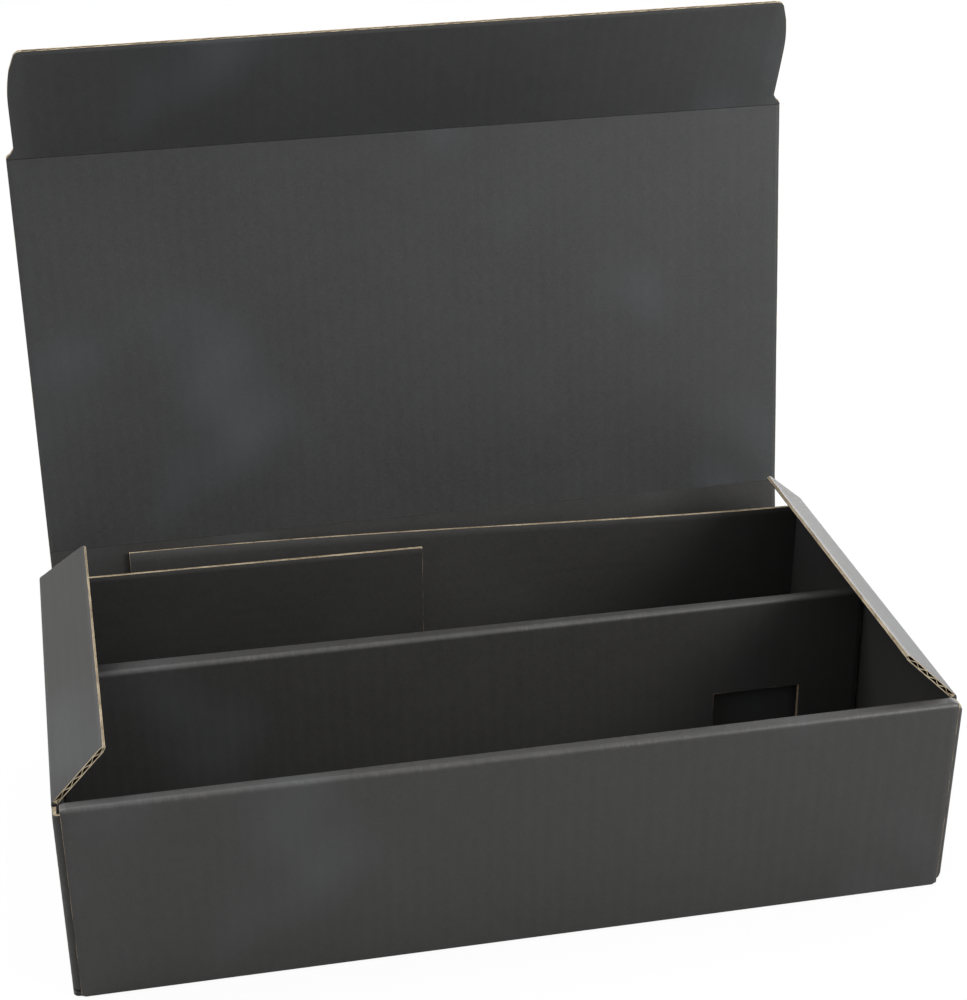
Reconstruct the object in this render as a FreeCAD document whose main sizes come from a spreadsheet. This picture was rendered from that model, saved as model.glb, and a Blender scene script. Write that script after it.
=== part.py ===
import FreeCAD, Part
import os
import Sketcher
from FreeCAD import Vector

# Shipping box for two bottles, folded from one die-cut blank of corrugated board.
# Sizes are in millimetres and degrees. The origin is the middle of the floor's underside, +X runs
# along the bottles, +Y to the back wall that carries the lid, and +Z is up.

SIZES = [
    ("board", 2.5, "thickness of the corrugated board"),
    ("width", 400, "across the outer faces of the side walls"),
    ("depth", 212, "front face to the back wall's outer face, upright"),
    ("front_height", 100, "rolled-over front wall"),
    ("side_height", 98.5, "side wall with its flap folded flat"),
    ("front_inset", 3.5, "each end of the front panel short of the side wall's face"),
    ("layer_gap", 0.1, "air between the layers of the front wall"),
    ("fit_gap", 0.4, "clearance between panels that close on each other"),
    ("crease_gap", 0.3, "slit along a crease between two moving panels"),
    ("fold_radius", 2.2, "outer radius of a sharp fold"),
    ("roll_radius", 1.1, "outer radius of the rolled-over edges"),
    ("front_tab", 85, "front corner tab, along the front wall"),
    ("front_tab_height", 96, "top of the front corner tabs"),
    ("rear_tab_left", 194, "left rear corner tab, along the back wall"),
    ("rear_tab_left_height", 95.5, "top of the left rear tab"),
    ("rear_tab_skew", 1.4, "angle that the left rear tab springs forward"),
    ("rear_tab_right", 351.5, "right rear corner tab, along the back wall"),
    ("rear_tab_root_height", 94, "top of the right rear tab at its fold"),
    ("rear_tab_end_height", 96.5, "top of the right rear tab at its free end"),
    ("divider_front", 106.3, "front face to the divider's foot"),
    ("divider_run", 5.7, "how far the divider's front layer leans back"),
    ("divider_height", 95.5, "top of the divider"),
    ("divider_left", 10.5, "divider's folded top at the left end"),
    ("divider_right", 5.5, "divider's folded top at the right end"),
    ("window_left", 122, "window in the divider's front layer, from the middle"),
    ("window_width", 44, "window's width"),
    ("window_sill", 9, "window's lower edge"),
    ("window_height", 38, "window's height"),
    ("back_height", 98, "back wall between its two creases"),
    ("back_lean", 13.7, "back wall's lean in the open box"),
    ("lid_width", 388, "lid and back wall"),
    ("lid_length", 199, "lid between its two creases"),
    ("lid_angle", 99.7, "lid's turn from shut"),
    ("lid_relief", 34, "bevel of both ends at the lid's crease"),
    ("tuck_length", 60, "tuck flap beyond the lid's front crease"),
    ("tuck_bend", 30, "tuck flap's bend from the lid's plane"),
    ("tuck_side", 380, "tuck flap's width beyond its notches"),
    ("tuck_tip", 371, "tuck flap's width at its tip"),
    ("tuck_taper", 20, "length over which the tuck flap's sides draw in"),
    ("tuck_notch", 5.5, "length of the notch beside the lid's crease"),
    ("tuck_corner", 4, "corner radius of the tuck flap"),
    ("flap_width", 32, "dust flap beyond its crease"),
    ("flap_start", 11, "front face to the dust flap's front end"),
    ("flap_front_bevel", 3.3, "front end's slant over the flap's width"),
    ("flap_rear_bevel", 13.5, "rear end's slant over the flap's width"),
    ("flap_angle_left", 45, "left dust flap's lift from flat"),
    ("flap_angle_right", 44, "right dust flap's lift from flat"),
    ("flute_pitch", 6.5, "one wave of the corrugated core"),
    ("liner", 0.4, "each facing of the board"),
    ("core", 0.3, "paper of the corrugated core"),
    ("flute_share", 0.72, "open share of one wave at the facing"),
]

# Places that several pieces share, as expressions of the sheet
FRONT = "(-sizes.depth / 2)"
FRONT_LAYERS = "(3 * sizes.board + 2 * sizes.layer_gap)"
ROLL_BACK = f"({FRONT} + {FRONT_LAYERS})"
TAB_FRONT = f"({FRONT} + sizes.board + sizes.layer_gap)"
BACK_CREASE = "(sizes.depth / 2 - sizes.board)"
WALL_END = f"({BACK_CREASE} - sizes.fit_gap)"
OUTSIDE = "(sizes.width / 2)"
INSIDE = "(sizes.width / 2 - sizes.board)"
LINER_HALF = "(sizes.width / 2 - sizes.front_inset)"
SIDE_CREASE = "(sizes.side_height - sizes.board)"
WALL_TOP = f"({SIDE_CREASE} - sizes.crease_gap / 2)"
DIVIDER_FOOT = f"({FRONT} + sizes.divider_front)"
DIVIDER_TOP = f"({DIVIDER_FOOT} + sizes.divider_run)"
TAB_OVERLAP = "(sizes.width - sizes.board - sizes.rear_tab_right)"
LEFT_END = (
    f"({WALL_END} - sizes.board - sizes.fit_gap / 2"
    f" + {TAB_OVERLAP} * tan(sizes.rear_tab_skew * 1deg))"
)
LID_AXIS_Y = f"({BACK_CREASE} + sizes.back_height * sin(sizes.back_lean * 1deg))"
LID_AXIS_Z = "(sizes.board + sizes.back_height * cos(sizes.back_lean * 1deg))"
TUCK_AXIS_Y = f"({LID_AXIS_Y} - sizes.lid_length * cos(sizes.lid_angle * 1deg))"
TUCK_AXIS_Z = f"({LID_AXIS_Z} + sizes.lid_length * sin(sizes.lid_angle * 1deg))"
HALF_SLIT = "(sizes.crease_gap / 2)"
LID_BEVEL = f"({HALF_SLIT} + sizes.board * tan(sizes.lid_relief * 1deg))"
FLAP_FRONT = f"({FRONT} + sizes.flap_start)"
CELL_HALF = "(sizes.flute_pitch * sizes.flute_share / 2)"
CELL_DEPTH = (
    "((sizes.board - 2 * sizes.liner - sizes.core)"
    " / (2 * (1 - (0.5 / sizes.flute_share) ^ 2)))"
)

TOLERANCE = 0.01


def make_sheet(doc):
    """The sheet of driving sizes, one alias to a row."""
    sheet = doc.addObject("Spreadsheet::Sheet", "sizes")
    for row, (alias, value, note) in enumerate(SIZES, start=1):
        sheet.set(f"A{row}", note)
        sheet.set(f"B{row}", str(value))
        sheet.setAlias(f"B{row}", alias)
    doc.recompute()
    return sheet


def number(owner, expression):
    """What an expression of the sheet comes to, as a plain number."""
    result = owner.evalExpression(expression)
    return float(getattr(result, "Value", result))


def close_loop(sketch, corners):
    """Draws a loop of straight edges, with each corner held by two expressions."""
    places = [(number(sketch, x), number(sketch, y)) for x, y in corners]
    first = sketch.GeometryCount
    count = len(corners)
    for index in range(count):
        start = Vector(*places[index], 0)
        end = Vector(*places[(index + 1) % count], 0)
        sketch.addGeometry(Part.LineSegment(start, end))
    for index in range(count):
        following = first + (index + 1) % count
        sketch.addConstraint(Sketcher.Constraint("Coincident", first + index, 2, following, 1))
    for index, (place, corner) in enumerate(zip(places, corners)):
        for kind, value, expression in zip(("DistanceX", "DistanceY"), place, corner):
            constraint = Sketcher.Constraint(kind, -1, 1, first + index, 1, value)
            sketch.setExpression(f"Constraints[{sketch.addConstraint(constraint)}]", expression)


def attached_sketch(body, name, role, offset="0"):
    """An empty sketch on one of the body's own origin planes, moved along its normal."""
    sketch = body.newObject("Sketcher::SketchObject", name)
    plane = [feature for feature in body.Origin.OriginFeatures if feature.Role == role][0]
    sketch.AttachmentSupport = (plane, [""])
    sketch.MapMode = "FlatFace"
    sketch.setExpression("AttachmentOffset.Base.z", offset)
    return sketch


def outline(body, name, role, offset, *loops):
    """A sketch of one or more loops of straight edges."""
    sketch = attached_sketch(body, name, role, offset)
    for corners in loops:
        close_loop(sketch, corners)
    return sketch


def pad(body, sketch, length, midplane=False, backwards=False):
    """Adds the sketch's area to the body over a length."""
    feature = body.newObject("PartDesign::Pad", sketch.Name + "_pad")
    feature.Profile = sketch
    feature.Midplane = midplane
    feature.Reversed = backwards
    feature.setExpression("Length", length)
    body.Document.recompute()
    return feature


def pocket(body, sketch, length=None):
    """Takes the sketch's area out of the body, over a length or right through."""
    before = body.Shape.Volume
    feature = body.newObject("PartDesign::Pocket", sketch.Name + "_cut")
    feature.Profile = sketch
    if length is None:
        feature.Type = "ThroughAll"
        feature.Midplane = True
    else:
        feature.setExpression("Length", length)
    body.Document.recompute()
    if body.Shape.Volume > before - TOLERANCE:
        raise RuntimeError(f"{feature.Name} cuts nothing")
    return feature


def round_edges(body, name, radius, *places):
    """Rounds the straight edges that lie at the given places, such as dict(x=..., z=...)."""
    wanted = [{axis: number(body, value) for axis, value in place.items()} for place in places]

    def lies_at(edge, place):
        points = [vertex.Point for vertex in edge.Vertexes]
        return len(points) == 2 and all(
            abs(getattr(point, axis) - value) < TOLERANCE
            for point in points
            for axis, value in place.items()
        )

    names = [
        f"Edge{index}"
        for index, edge in enumerate(body.Shape.Edges, start=1)
        if any(lies_at(edge, place) for place in wanted)
    ]
    if len(names) < len(places):
        raise RuntimeError(f"{name} finds {len(names)} edges for {len(places)} places")
    before = body.Tip
    feature = body.newObject("PartDesign::Fillet", name)
    feature.Base = (before, names)
    feature.setExpression("Radius", radius)
    body.Document.recompute()
    return feature


def place_at(piece, y, z, turn, about="1; 0; 0", x="0"):
    """Puts a piece's own origin, which lies on its crease, in the box and turns it there."""
    piece.setExpression(
        "Placement", f"placement(vector({x}; {y}; {z}); rotation(vector({about}); {turn}))"
    )


def make_tray(doc):
    """Floor, walls, rolled-over front, inner floor and the fixed corner tabs."""
    body = doc.addObject("PartDesign::Body", "tray")

    trough = outline(body, "trough", "XZ_Plane", f"-{TAB_FRONT}", [
        (f"-{OUTSIDE}", "0"), (OUTSIDE, "0"), (OUTSIDE, WALL_TOP), (INSIDE, WALL_TOP),
        (INSIDE, "sizes.board"), (f"-{INSIDE}", "sizes.board"),
        (f"-{INSIDE}", WALL_TOP), (f"-{OUTSIDE}", WALL_TOP),
    ])
    pad(body, trough, f"{WALL_END} - {TAB_FRONT}", backwards=True)
    round_edges(body, "floor_folds", "sizes.fold_radius",
                dict(x=f"-{OUTSIDE}", z="0"), dict(x=OUTSIDE, z="0"))
    round_edges(body, "front_corners", "sizes.fold_radius",
                dict(x=f"-{OUTSIDE}", y=TAB_FRONT), dict(x=OUTSIDE, y=TAB_FRONT))

    # The left wall ends sooner, so that its rear tab lies in front of the right one
    trim = outline(body, "left_wall_end", "XY_Plane", "sizes.side_height", [
        (f"-{OUTSIDE} - sizes.board", LEFT_END), (f"-{INSIDE}", LEFT_END),
        (f"-{INSIDE}", BACK_CREASE), (f"-{OUTSIDE} - sizes.board", BACK_CREASE),
    ])
    pocket(body, trim, "sizes.side_height - sizes.board")
    round_edges(body, "rear_corner", "sizes.fold_radius", dict(x=f"-{OUTSIDE}", y=LEFT_END))

    # Front wall rolled over a flat top and on into the inner floor, up to the divider's foot
    roll = outline(
        body, "roll_over", "YZ_Plane", "0",
        [
            (FRONT, "0"), (FRONT, "sizes.front_height"), (ROLL_BACK, "sizes.front_height"),
            (ROLL_BACK, "2 * sizes.board"), (DIVIDER_FOOT, "2 * sizes.board"),
            (DIVIDER_FOOT, "sizes.board"), (ROLL_BACK, "sizes.board"), (ROLL_BACK, "0"),
        ],
        [
            (f"{FRONT} + sizes.board", "sizes.board"),
            (f"{FRONT} + sizes.board", "sizes.front_height - sizes.board"),
            (f"{ROLL_BACK} - sizes.board", "sizes.front_height - sizes.board"),
            (f"{ROLL_BACK} - sizes.board", "sizes.board"),
        ],
    )
    pad(body, roll, f"2 * {LINER_HALF}", midplane=True)

    # Corner tabs of the side walls, held between the layers of the front wall
    tab_inner = f"({OUTSIDE} - sizes.front_tab)"
    tab_back = f"({TAB_FRONT} + sizes.board)"
    front_tabs = outline(
        body, "front_tabs", "XY_Plane", "sizes.board + sizes.layer_gap",
        [(f"-{INSIDE}", TAB_FRONT), (f"-{tab_inner}", TAB_FRONT),
         (f"-{tab_inner}", tab_back), (f"-{INSIDE}", tab_back)],
        [(INSIDE, TAB_FRONT), (tab_inner, TAB_FRONT),
         (tab_inner, tab_back), (INSIDE, tab_back)],
    )
    pad(body, front_tabs, "sizes.front_tab_height - sizes.board - sizes.layer_gap")

    # Left wall's rear tab, loose in front of the back wall
    spring = "(sizes.rear_tab_left * tan(sizes.rear_tab_skew * 1deg))"
    rear_tab = outline(body, "rear_tab_left", "XY_Plane", "sizes.board + sizes.fit_gap", [
        (f"-{OUTSIDE}", f"{LEFT_END} - sizes.board"),
        (f"-{OUTSIDE} + sizes.rear_tab_left", f"{LEFT_END} - sizes.board - {spring}"),
        (f"-{OUTSIDE} + sizes.rear_tab_left", f"{LEFT_END} - {spring}"),
        (f"-{OUTSIDE}", LEFT_END),
    ])
    pad(body, rear_tab, "sizes.rear_tab_left_height - sizes.board - sizes.fit_gap")

    round_edges(body, "front_fold", "sizes.fold_radius", dict(y=FRONT, z="0"))
    round_edges(body, "roll_folds", "sizes.roll_radius",
                dict(y=FRONT, z="sizes.front_height"), dict(y=ROLL_BACK, z="sizes.front_height"))
    return body


def make_divider(doc):
    """Divider: a front layer that leans back, with a window, its folded top and a rear layer."""
    body = doc.addObject("PartDesign::Body", "divider")
    front_layer = outline(body, "divider_front_layer", "YZ_Plane", "0", [
        (DIVIDER_FOOT, "sizes.board"), (DIVIDER_FOOT, "2 * sizes.board"),
        (DIVIDER_TOP, "sizes.divider_height"),
        (f"{DIVIDER_TOP} + sizes.board", "sizes.divider_height"),
        (f"{DIVIDER_FOOT} + sizes.board", "sizes.board"),
    ])
    pad(body, front_layer, f"2 * {LINER_HALF}", midplane=True)

    window = outline(body, "divider_window", "XZ_Plane", f"-({DIVIDER_FOOT} - sizes.board)", [
        ("sizes.window_left", "sizes.window_sill"),
        ("sizes.window_left + sizes.window_width", "sizes.window_sill"),
        ("sizes.window_left + sizes.window_width", "sizes.window_sill + sizes.window_height"),
        ("sizes.window_left", "sizes.window_sill + sizes.window_height"),
    ])
    pocket(body, window, "2 * sizes.board + sizes.divider_run")

    # Rear layer and folded top, wider at the left end
    left_back = f"({DIVIDER_TOP} + sizes.divider_left)"
    right_back = f"({DIVIDER_TOP} + sizes.divider_right)"
    rear_layer = outline(body, "divider_back", "XY_Plane", "sizes.board", [
        (f"-{LINER_HALF}", f"{left_back} - sizes.board"),
        (LINER_HALF, f"{right_back} - sizes.board"),
        (LINER_HALF, right_back), (f"-{LINER_HALF}", left_back),
    ])
    pad(body, rear_layer, "sizes.divider_height - sizes.board")
    strip = outline(body, "divider_strip", "XY_Plane", "sizes.divider_height - sizes.board", [
        (f"-{LINER_HALF}", f"{DIVIDER_TOP} + sizes.board / 2"),
        (LINER_HALF, f"{DIVIDER_TOP} + sizes.board / 2"),
        (LINER_HALF, right_back), (f"-{LINER_HALF}", left_back),
    ])
    pad(body, strip, "sizes.board")
    round_edges(body, "divider_fold", "sizes.roll_radius",
                dict(y=DIVIDER_TOP, z="sizes.divider_height"))
    return body


def make_rear_tab_right(doc):
    """Right wall's rear tab, twisted from upright at its fold to the back wall's lean."""
    low = "(sizes.board + sizes.fit_gap)"
    lean = "(sizes.back_lean * 1deg)"

    def section(name, x, top, turn):
        """Cross-section of the tab whose face is turned about the floor's rear crease."""
        sketch = doc.addObject("Sketcher::SketchObject", name)
        sketch.setExpression(
            "Placement", f"placement(vector({x}; 0; 0); rotation(vector(1; 1; 1); 120))"
        )

        def corner(across, up):
            """A point of the upright section, turned back about the crease."""
            return (
                f"{WALL_END} + ({up} - sizes.board) * sin({turn}) + ({across}) * cos({turn})",
                f"sizes.board + ({up} - sizes.board) * cos({turn}) - ({across}) * sin({turn})",
            )

        close_loop(sketch, [
            corner("-sizes.board", low), corner("0", low),
            corner("0", top), corner("-sizes.board", top),
        ])
        return sketch

    root = section("tab_fold", INSIDE, "sizes.rear_tab_root_height", "0")
    free_end = section("tab_end", f"{INSIDE} - sizes.rear_tab_right", "sizes.rear_tab_end_height", lean)
    tab = doc.addObject("Part::Loft", "rear_tab_right")
    tab.Sections = [root, free_end]
    tab.Solid = True
    tab.Ruled = True
    return tab


def make_panel(doc, name, width, corners):
    """A flat panel from the section that its creases give it, spread over its width."""
    body = doc.addObject("PartDesign::Body", name)
    section = outline(body, name + "_section", "YZ_Plane", "0", corners)
    pad(body, section, width, midplane=True)
    return body


def make_back_wall(doc):
    """Back wall between the floor's rear crease and the lid's crease."""
    body = make_panel(doc, "back_wall", "sizes.lid_width", [
        ("0", HALF_SLIT), ("sizes.board", HALF_SLIT),
        ("sizes.board", f"sizes.back_height - {LID_BEVEL}"),
        ("0", f"sizes.back_height - {HALF_SLIT}"),
    ])
    place_at(body, BACK_CREASE, "sizes.board", "-sizes.back_lean")
    return body


def make_lid(doc):
    """Lid panel, drawn shut and turned open about its crease."""
    body = make_panel(doc, "lid", "sizes.lid_width", [
        (f"-{HALF_SLIT}", "0"), (f"-{LID_BEVEL}", "sizes.board"),
        (f"-sizes.lid_length + {HALF_SLIT}", "sizes.board"),
        (f"-sizes.lid_length + {HALF_SLIT}", "0"),
    ])
    place_at(body, LID_AXIS_Y, LID_AXIS_Z, "-sizes.lid_angle")
    return body


def make_tuck_flap(doc):
    """Tuck flap with notched shoulders, sides that draw in and rounded corners."""
    body = doc.addObject("PartDesign::Body", "tuck_flap")
    shoulder = "(sizes.lid_width / 2)"
    side = "(sizes.tuck_side / 2)"
    tip = "(sizes.tuck_tip / 2)"
    right_half = [
        (shoulder, HALF_SLIT), (side, "sizes.tuck_notch"),
        (side, "sizes.tuck_length - sizes.tuck_taper"), (tip, "sizes.tuck_length"),
    ]
    corners = [(x, f"-({y})") for x, y in right_half]
    corners += [(f"-{x}", f"-({y})") for x, y in reversed(right_half)]
    blank = outline(body, "tuck_blank", "XY_Plane", "0", corners)
    pad(body, blank, "sizes.board")
    round_edges(body, "tuck_corners", "sizes.tuck_corner",
                dict(x=tip, y="-sizes.tuck_length"), dict(x=f"-{tip}", y="-sizes.tuck_length"))
    place_at(body, TUCK_AXIS_Y, TUCK_AXIS_Z, "sizes.tuck_bend - sizes.lid_angle")
    return body


def cut_flutes(body, name, facing, bulge):
    """Open cells of the core on one facing, repeated across the flap's width.

    facing is the height of the cell's flat side and bulge the side to which its arc rises.
    """
    shift = "0" if bulge > 0 else "sizes.flute_pitch / 2"
    middle = f"({HALF_SLIT} + sizes.flute_pitch / 2 + {shift})"
    sketch = attached_sketch(body, name, "XZ_Plane")
    left = number(sketch, f"{middle} - {CELL_HALF}")
    right = number(sketch, f"{middle} + {CELL_HALF}")
    flat = number(sketch, facing)
    crest = flat + bulge * number(sketch, CELL_DEPTH)
    sketch.addGeometry(Part.LineSegment(Vector(left, flat, 0), Vector(right, flat, 0)))
    sketch.addGeometry(
        Part.Arc(Vector(right, flat, 0), Vector((left + right) / 2, crest, 0), Vector(left, flat, 0))
    )
    arc_from, arc_to = (1, 2) if bulge > 0 else (2, 1)
    sketch.addConstraint(Sketcher.Constraint("Coincident", 0, 2, 1, arc_from))
    sketch.addConstraint(Sketcher.Constraint("Coincident", 0, 1, 1, arc_to))
    radius = f"({CELL_HALF} ^ 2 + {CELL_DEPTH} ^ 2) / (2 * {CELL_DEPTH})"
    held = [
        (Sketcher.Constraint("DistanceX", -1, 1, 0, 1, left), f"{middle} - {CELL_HALF}"),
        (Sketcher.Constraint("DistanceY", -1, 1, 0, 1, flat), facing),
        (Sketcher.Constraint("DistanceX", -1, 1, 0, 2, right), f"{middle} + {CELL_HALF}"),
        (Sketcher.Constraint("DistanceY", -1, 1, 0, 2, flat), facing),
        (Sketcher.Constraint("Radius", 1, number(sketch, radius)), radius),
    ]
    for constraint, expression in held:
        sketch.setExpression(f"Constraints[{sketch.addConstraint(constraint)}]", expression)
    first = pocket(body, sketch)
    cells = body.newObject("PartDesign::LinearPattern", name + "_cells")
    cells.Originals = [first]
    cells.Direction = (sketch, ["H_Axis"])
    cells.Mode = "Spacing"
    cells.setExpression("Offset", "sizes.flute_pitch")
    room = f"(sizes.flap_width - {middle} - {CELL_HALF} - sizes.liner)"
    cells.setExpression("Occurrences", f"floor({room} / sizes.flute_pitch) + 1")
    body.Tip = cells
    body.Document.recompute()


def make_dust_flap(doc, name, side):
    """Dust flap on a side wall's top crease, with its flutes open at both slanted ends.

    The flap is drawn flat along +X with its crease on Y. The right one is turned half a circle
    about Z, so its rear end comes first.
    """
    body = doc.addObject("PartDesign::Body", name)
    is_left = side < 0
    rear = f"({LEFT_END if is_left else WALL_END} - {HALF_SLIT})"
    if is_left:
        low, high = FLAP_FRONT, rear
        low_bevel, high_bevel = "sizes.flap_front_bevel", "sizes.flap_rear_bevel"
    else:
        low, high = f"(-{rear})", f"(-{FLAP_FRONT})"
        low_bevel, high_bevel = "sizes.flap_rear_bevel", "sizes.flap_front_bevel"
    blank = outline(body, name + "_blank", "XY_Plane", "0", [
        (HALF_SLIT, low), ("sizes.flap_width", f"{low} + {low_bevel}"),
        ("sizes.flap_width", f"{high} - {high_bevel}"), (HALF_SLIT, high),
    ])
    pad(body, blank, "sizes.board")
    cut_flutes(body, name + "_lower", "sizes.liner", 1)
    cut_flutes(body, name + "_upper", "sizes.board - sizes.liner", -1)
    if is_left:
        place_at(body, "0", SIDE_CREASE, "-sizes.flap_angle_left", about="0; 1; 0", x=f"-{INSIDE}")
    else:
        body.setExpression("Placement", (
            f"placement(vector({INSIDE}; 0; {SIDE_CREASE});"
            " rotation(vector(0; 1; 0); sizes.flap_angle_right)"
            " * rotation(vector(0; 0; 1); 180))"
        ))
    return body


def check(doc, pieces):
    """Stops if an object failed or a piece is not one or more sound solids."""
    for item in doc.Objects:
        if "Invalid" in item.State or "Error" in item.State:
            raise RuntimeError(f"{item.Name} failed: {item.State}")
    for piece in pieces:
        if piece.Shape.isNull() or not piece.Shape.isValid() or not piece.Shape.Solids:
            raise RuntimeError(f"{piece.Name} has no sound shape")


def main():
    doc = FreeCAD.newDocument("bottle_box")
    make_sheet(doc)
    pieces = [
        make_tray(doc),
        make_divider(doc),
        make_rear_tab_right(doc),
        make_back_wall(doc),
        make_lid(doc),
        make_tuck_flap(doc),
        make_dust_flap(doc, "dust_flap_left", -1),
        make_dust_flap(doc, "dust_flap_right", 1),
    ]
    doc.recompute()
    check(doc, pieces)
    os.makedirs("parts", exist_ok=True)
    for piece in pieces:
        piece.Label = piece.Name
        piece.Shape.exportStep(f"parts/{piece.Label}.step")
        print(piece.Label, len(piece.Shape.Solids), "solid,", round(piece.Shape.Volume), "mm3")


main()
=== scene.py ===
"""Looks of a shipping box for two bottles, folded from one blank of black corrugated board.

Every panel is a sheet of board that follows its folded path, with both facings, the waves of the
core at the edges cut across them, and the torn line of the edges cut along them. The sheets stand
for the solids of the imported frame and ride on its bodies.
"""

import logging
import math
from dataclasses import dataclass, field, replace
from enum import Enum, IntEnum
from typing import Iterable, Optional, Sequence

import bmesh
import bpy
from mathutils import Matrix, Vector

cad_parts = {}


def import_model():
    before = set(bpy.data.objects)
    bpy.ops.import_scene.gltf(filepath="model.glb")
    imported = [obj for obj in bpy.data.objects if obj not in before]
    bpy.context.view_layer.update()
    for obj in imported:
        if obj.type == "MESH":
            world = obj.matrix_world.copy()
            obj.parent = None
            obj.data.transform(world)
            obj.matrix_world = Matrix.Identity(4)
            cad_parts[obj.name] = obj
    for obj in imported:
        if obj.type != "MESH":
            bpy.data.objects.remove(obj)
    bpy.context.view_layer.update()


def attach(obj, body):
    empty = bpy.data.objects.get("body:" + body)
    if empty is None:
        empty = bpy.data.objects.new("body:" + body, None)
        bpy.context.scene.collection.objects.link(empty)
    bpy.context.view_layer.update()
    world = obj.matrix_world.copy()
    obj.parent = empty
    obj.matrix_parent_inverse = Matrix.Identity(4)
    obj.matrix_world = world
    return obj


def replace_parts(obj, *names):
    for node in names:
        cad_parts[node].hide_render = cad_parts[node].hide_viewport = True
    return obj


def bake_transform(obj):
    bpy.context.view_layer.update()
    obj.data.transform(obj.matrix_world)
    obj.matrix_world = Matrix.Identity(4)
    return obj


LOG = logging.getLogger("shipping_box")
UP = Vector((0, 0, 1))
ALONG_X = Vector((1, 0, 0))
ALONG_Y = Vector((0, 1, 0))

END_STOPS = (0.0006, 0.0018)  # extra lines of points at these distances inside every border
CLOSEST = 1 / 16  # share of a wave that other columns keep from those extra lines
PRESSED = 0.2  # share of the waves that still shows where a score has pressed the board
WELD = 1e-6  # points closer than this are one point
SHARP_EDGE = math.radians(40)
KNIFE_SWAYS = ((0.07, 310.0), (0.05, 1270.0))  # share of the thickness, radians per metre
TORN_SWAYS = (1900.0, 730.0)  # radians per metre
TORN_SHARE = 0.25  # share of the tear's depth that sways
ROLL_STEPS = 8  # facets of a fold that is seen from outside
HIDDEN_STEPS = 4  # facets of a fold inside the box


class Flutes(Enum):
    """Which way the waves of the core run in a sheet."""

    WITH_PATH = "along the folded path"
    WITH_SPREAD = "along the sheet's spread, square to its path"


class Border(Enum):
    """What one border of a sheet is."""

    CREASE = "goes on into the next panel"
    CUT_ALONG = "cut along the flutes"
    CUT_ACROSS = "cut across the flutes"


class Facing(Enum):
    """One of a sheet's two faces."""

    INNER = "inner facing"
    OUTER = "outer facing"


class Paper(IntEnum):
    """Which of a sheet's two papers a face shows, as its place among the materials."""

    LINER = 0
    KRAFT = 1


class Slot(Enum):
    """The record's material slot that a piece takes its finish from."""

    BOARD = "board"
    LID_BOARD = "lid_board"


class Side(IntEnum):
    """A side of the box, as the sign of its x."""

    LEFT = -1
    RIGHT = 1

    @property
    def word(self) -> str:
        """The side's name as it stands in the names of pieces."""
        return self.name.lower()


@dataclass(frozen=True)
class Board:
    """Single-wall corrugated board.

    Attributes:
        thickness: Both facings and the core.
        liner: One facing.
        core: Paper of the core.
        glue: Gap between a crest of the core and the facing.
        pitch: One wave of the core.
        relief: How far a facing dips between two crests.
        recess: Depth to which the cells of a cut edge are modelled.
        tear: How far the core stands back at an edge cut along the flutes.
        crush: Share of the thickness that the knife leaves at an edge cut along the flutes.
        ease: Distance from a cut at which the board is whole again.
        bare: Width along a cut where the print can be chipped off.
    """

    thickness: float = 0.0025
    liner: float = 0.0004
    core: float = 0.0003
    glue: float = 0.00002
    pitch: float = 0.0065
    relief: float = 0.00005
    recess: float = 0.004
    tear: float = 0.00022
    crush: float = 0.56
    ease: float = 0.0018
    bare: float = 0.0006

    def phase(self, u: float) -> float:
        """Angle of the wave at a place across the flutes."""
        return math.tau * u / self.pitch

    def dips(self, u: float) -> tuple[float, float]:
        """How far the inner and the outer facing dip at a place across the flutes."""
        swing = 0.5 * math.cos(self.phase(u))
        return self.relief * (0.5 + swing), self.relief * (0.5 - swing)

    def core_span(self, u: float) -> tuple[float, float]:
        """Heights between which the core's paper lies at a place across the flutes.

        Args:
            u: Place across the flutes.

        Returns:
            Lower and upper height, measured from the inner facing's outside.
        """
        reach = self.thickness / 2 - self.liner - self.core / 2 - self.glue
        middle = self.thickness / 2 + reach * math.cos(self.phase(u))
        return middle - self.core / 2, middle + self.core / 2


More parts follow.
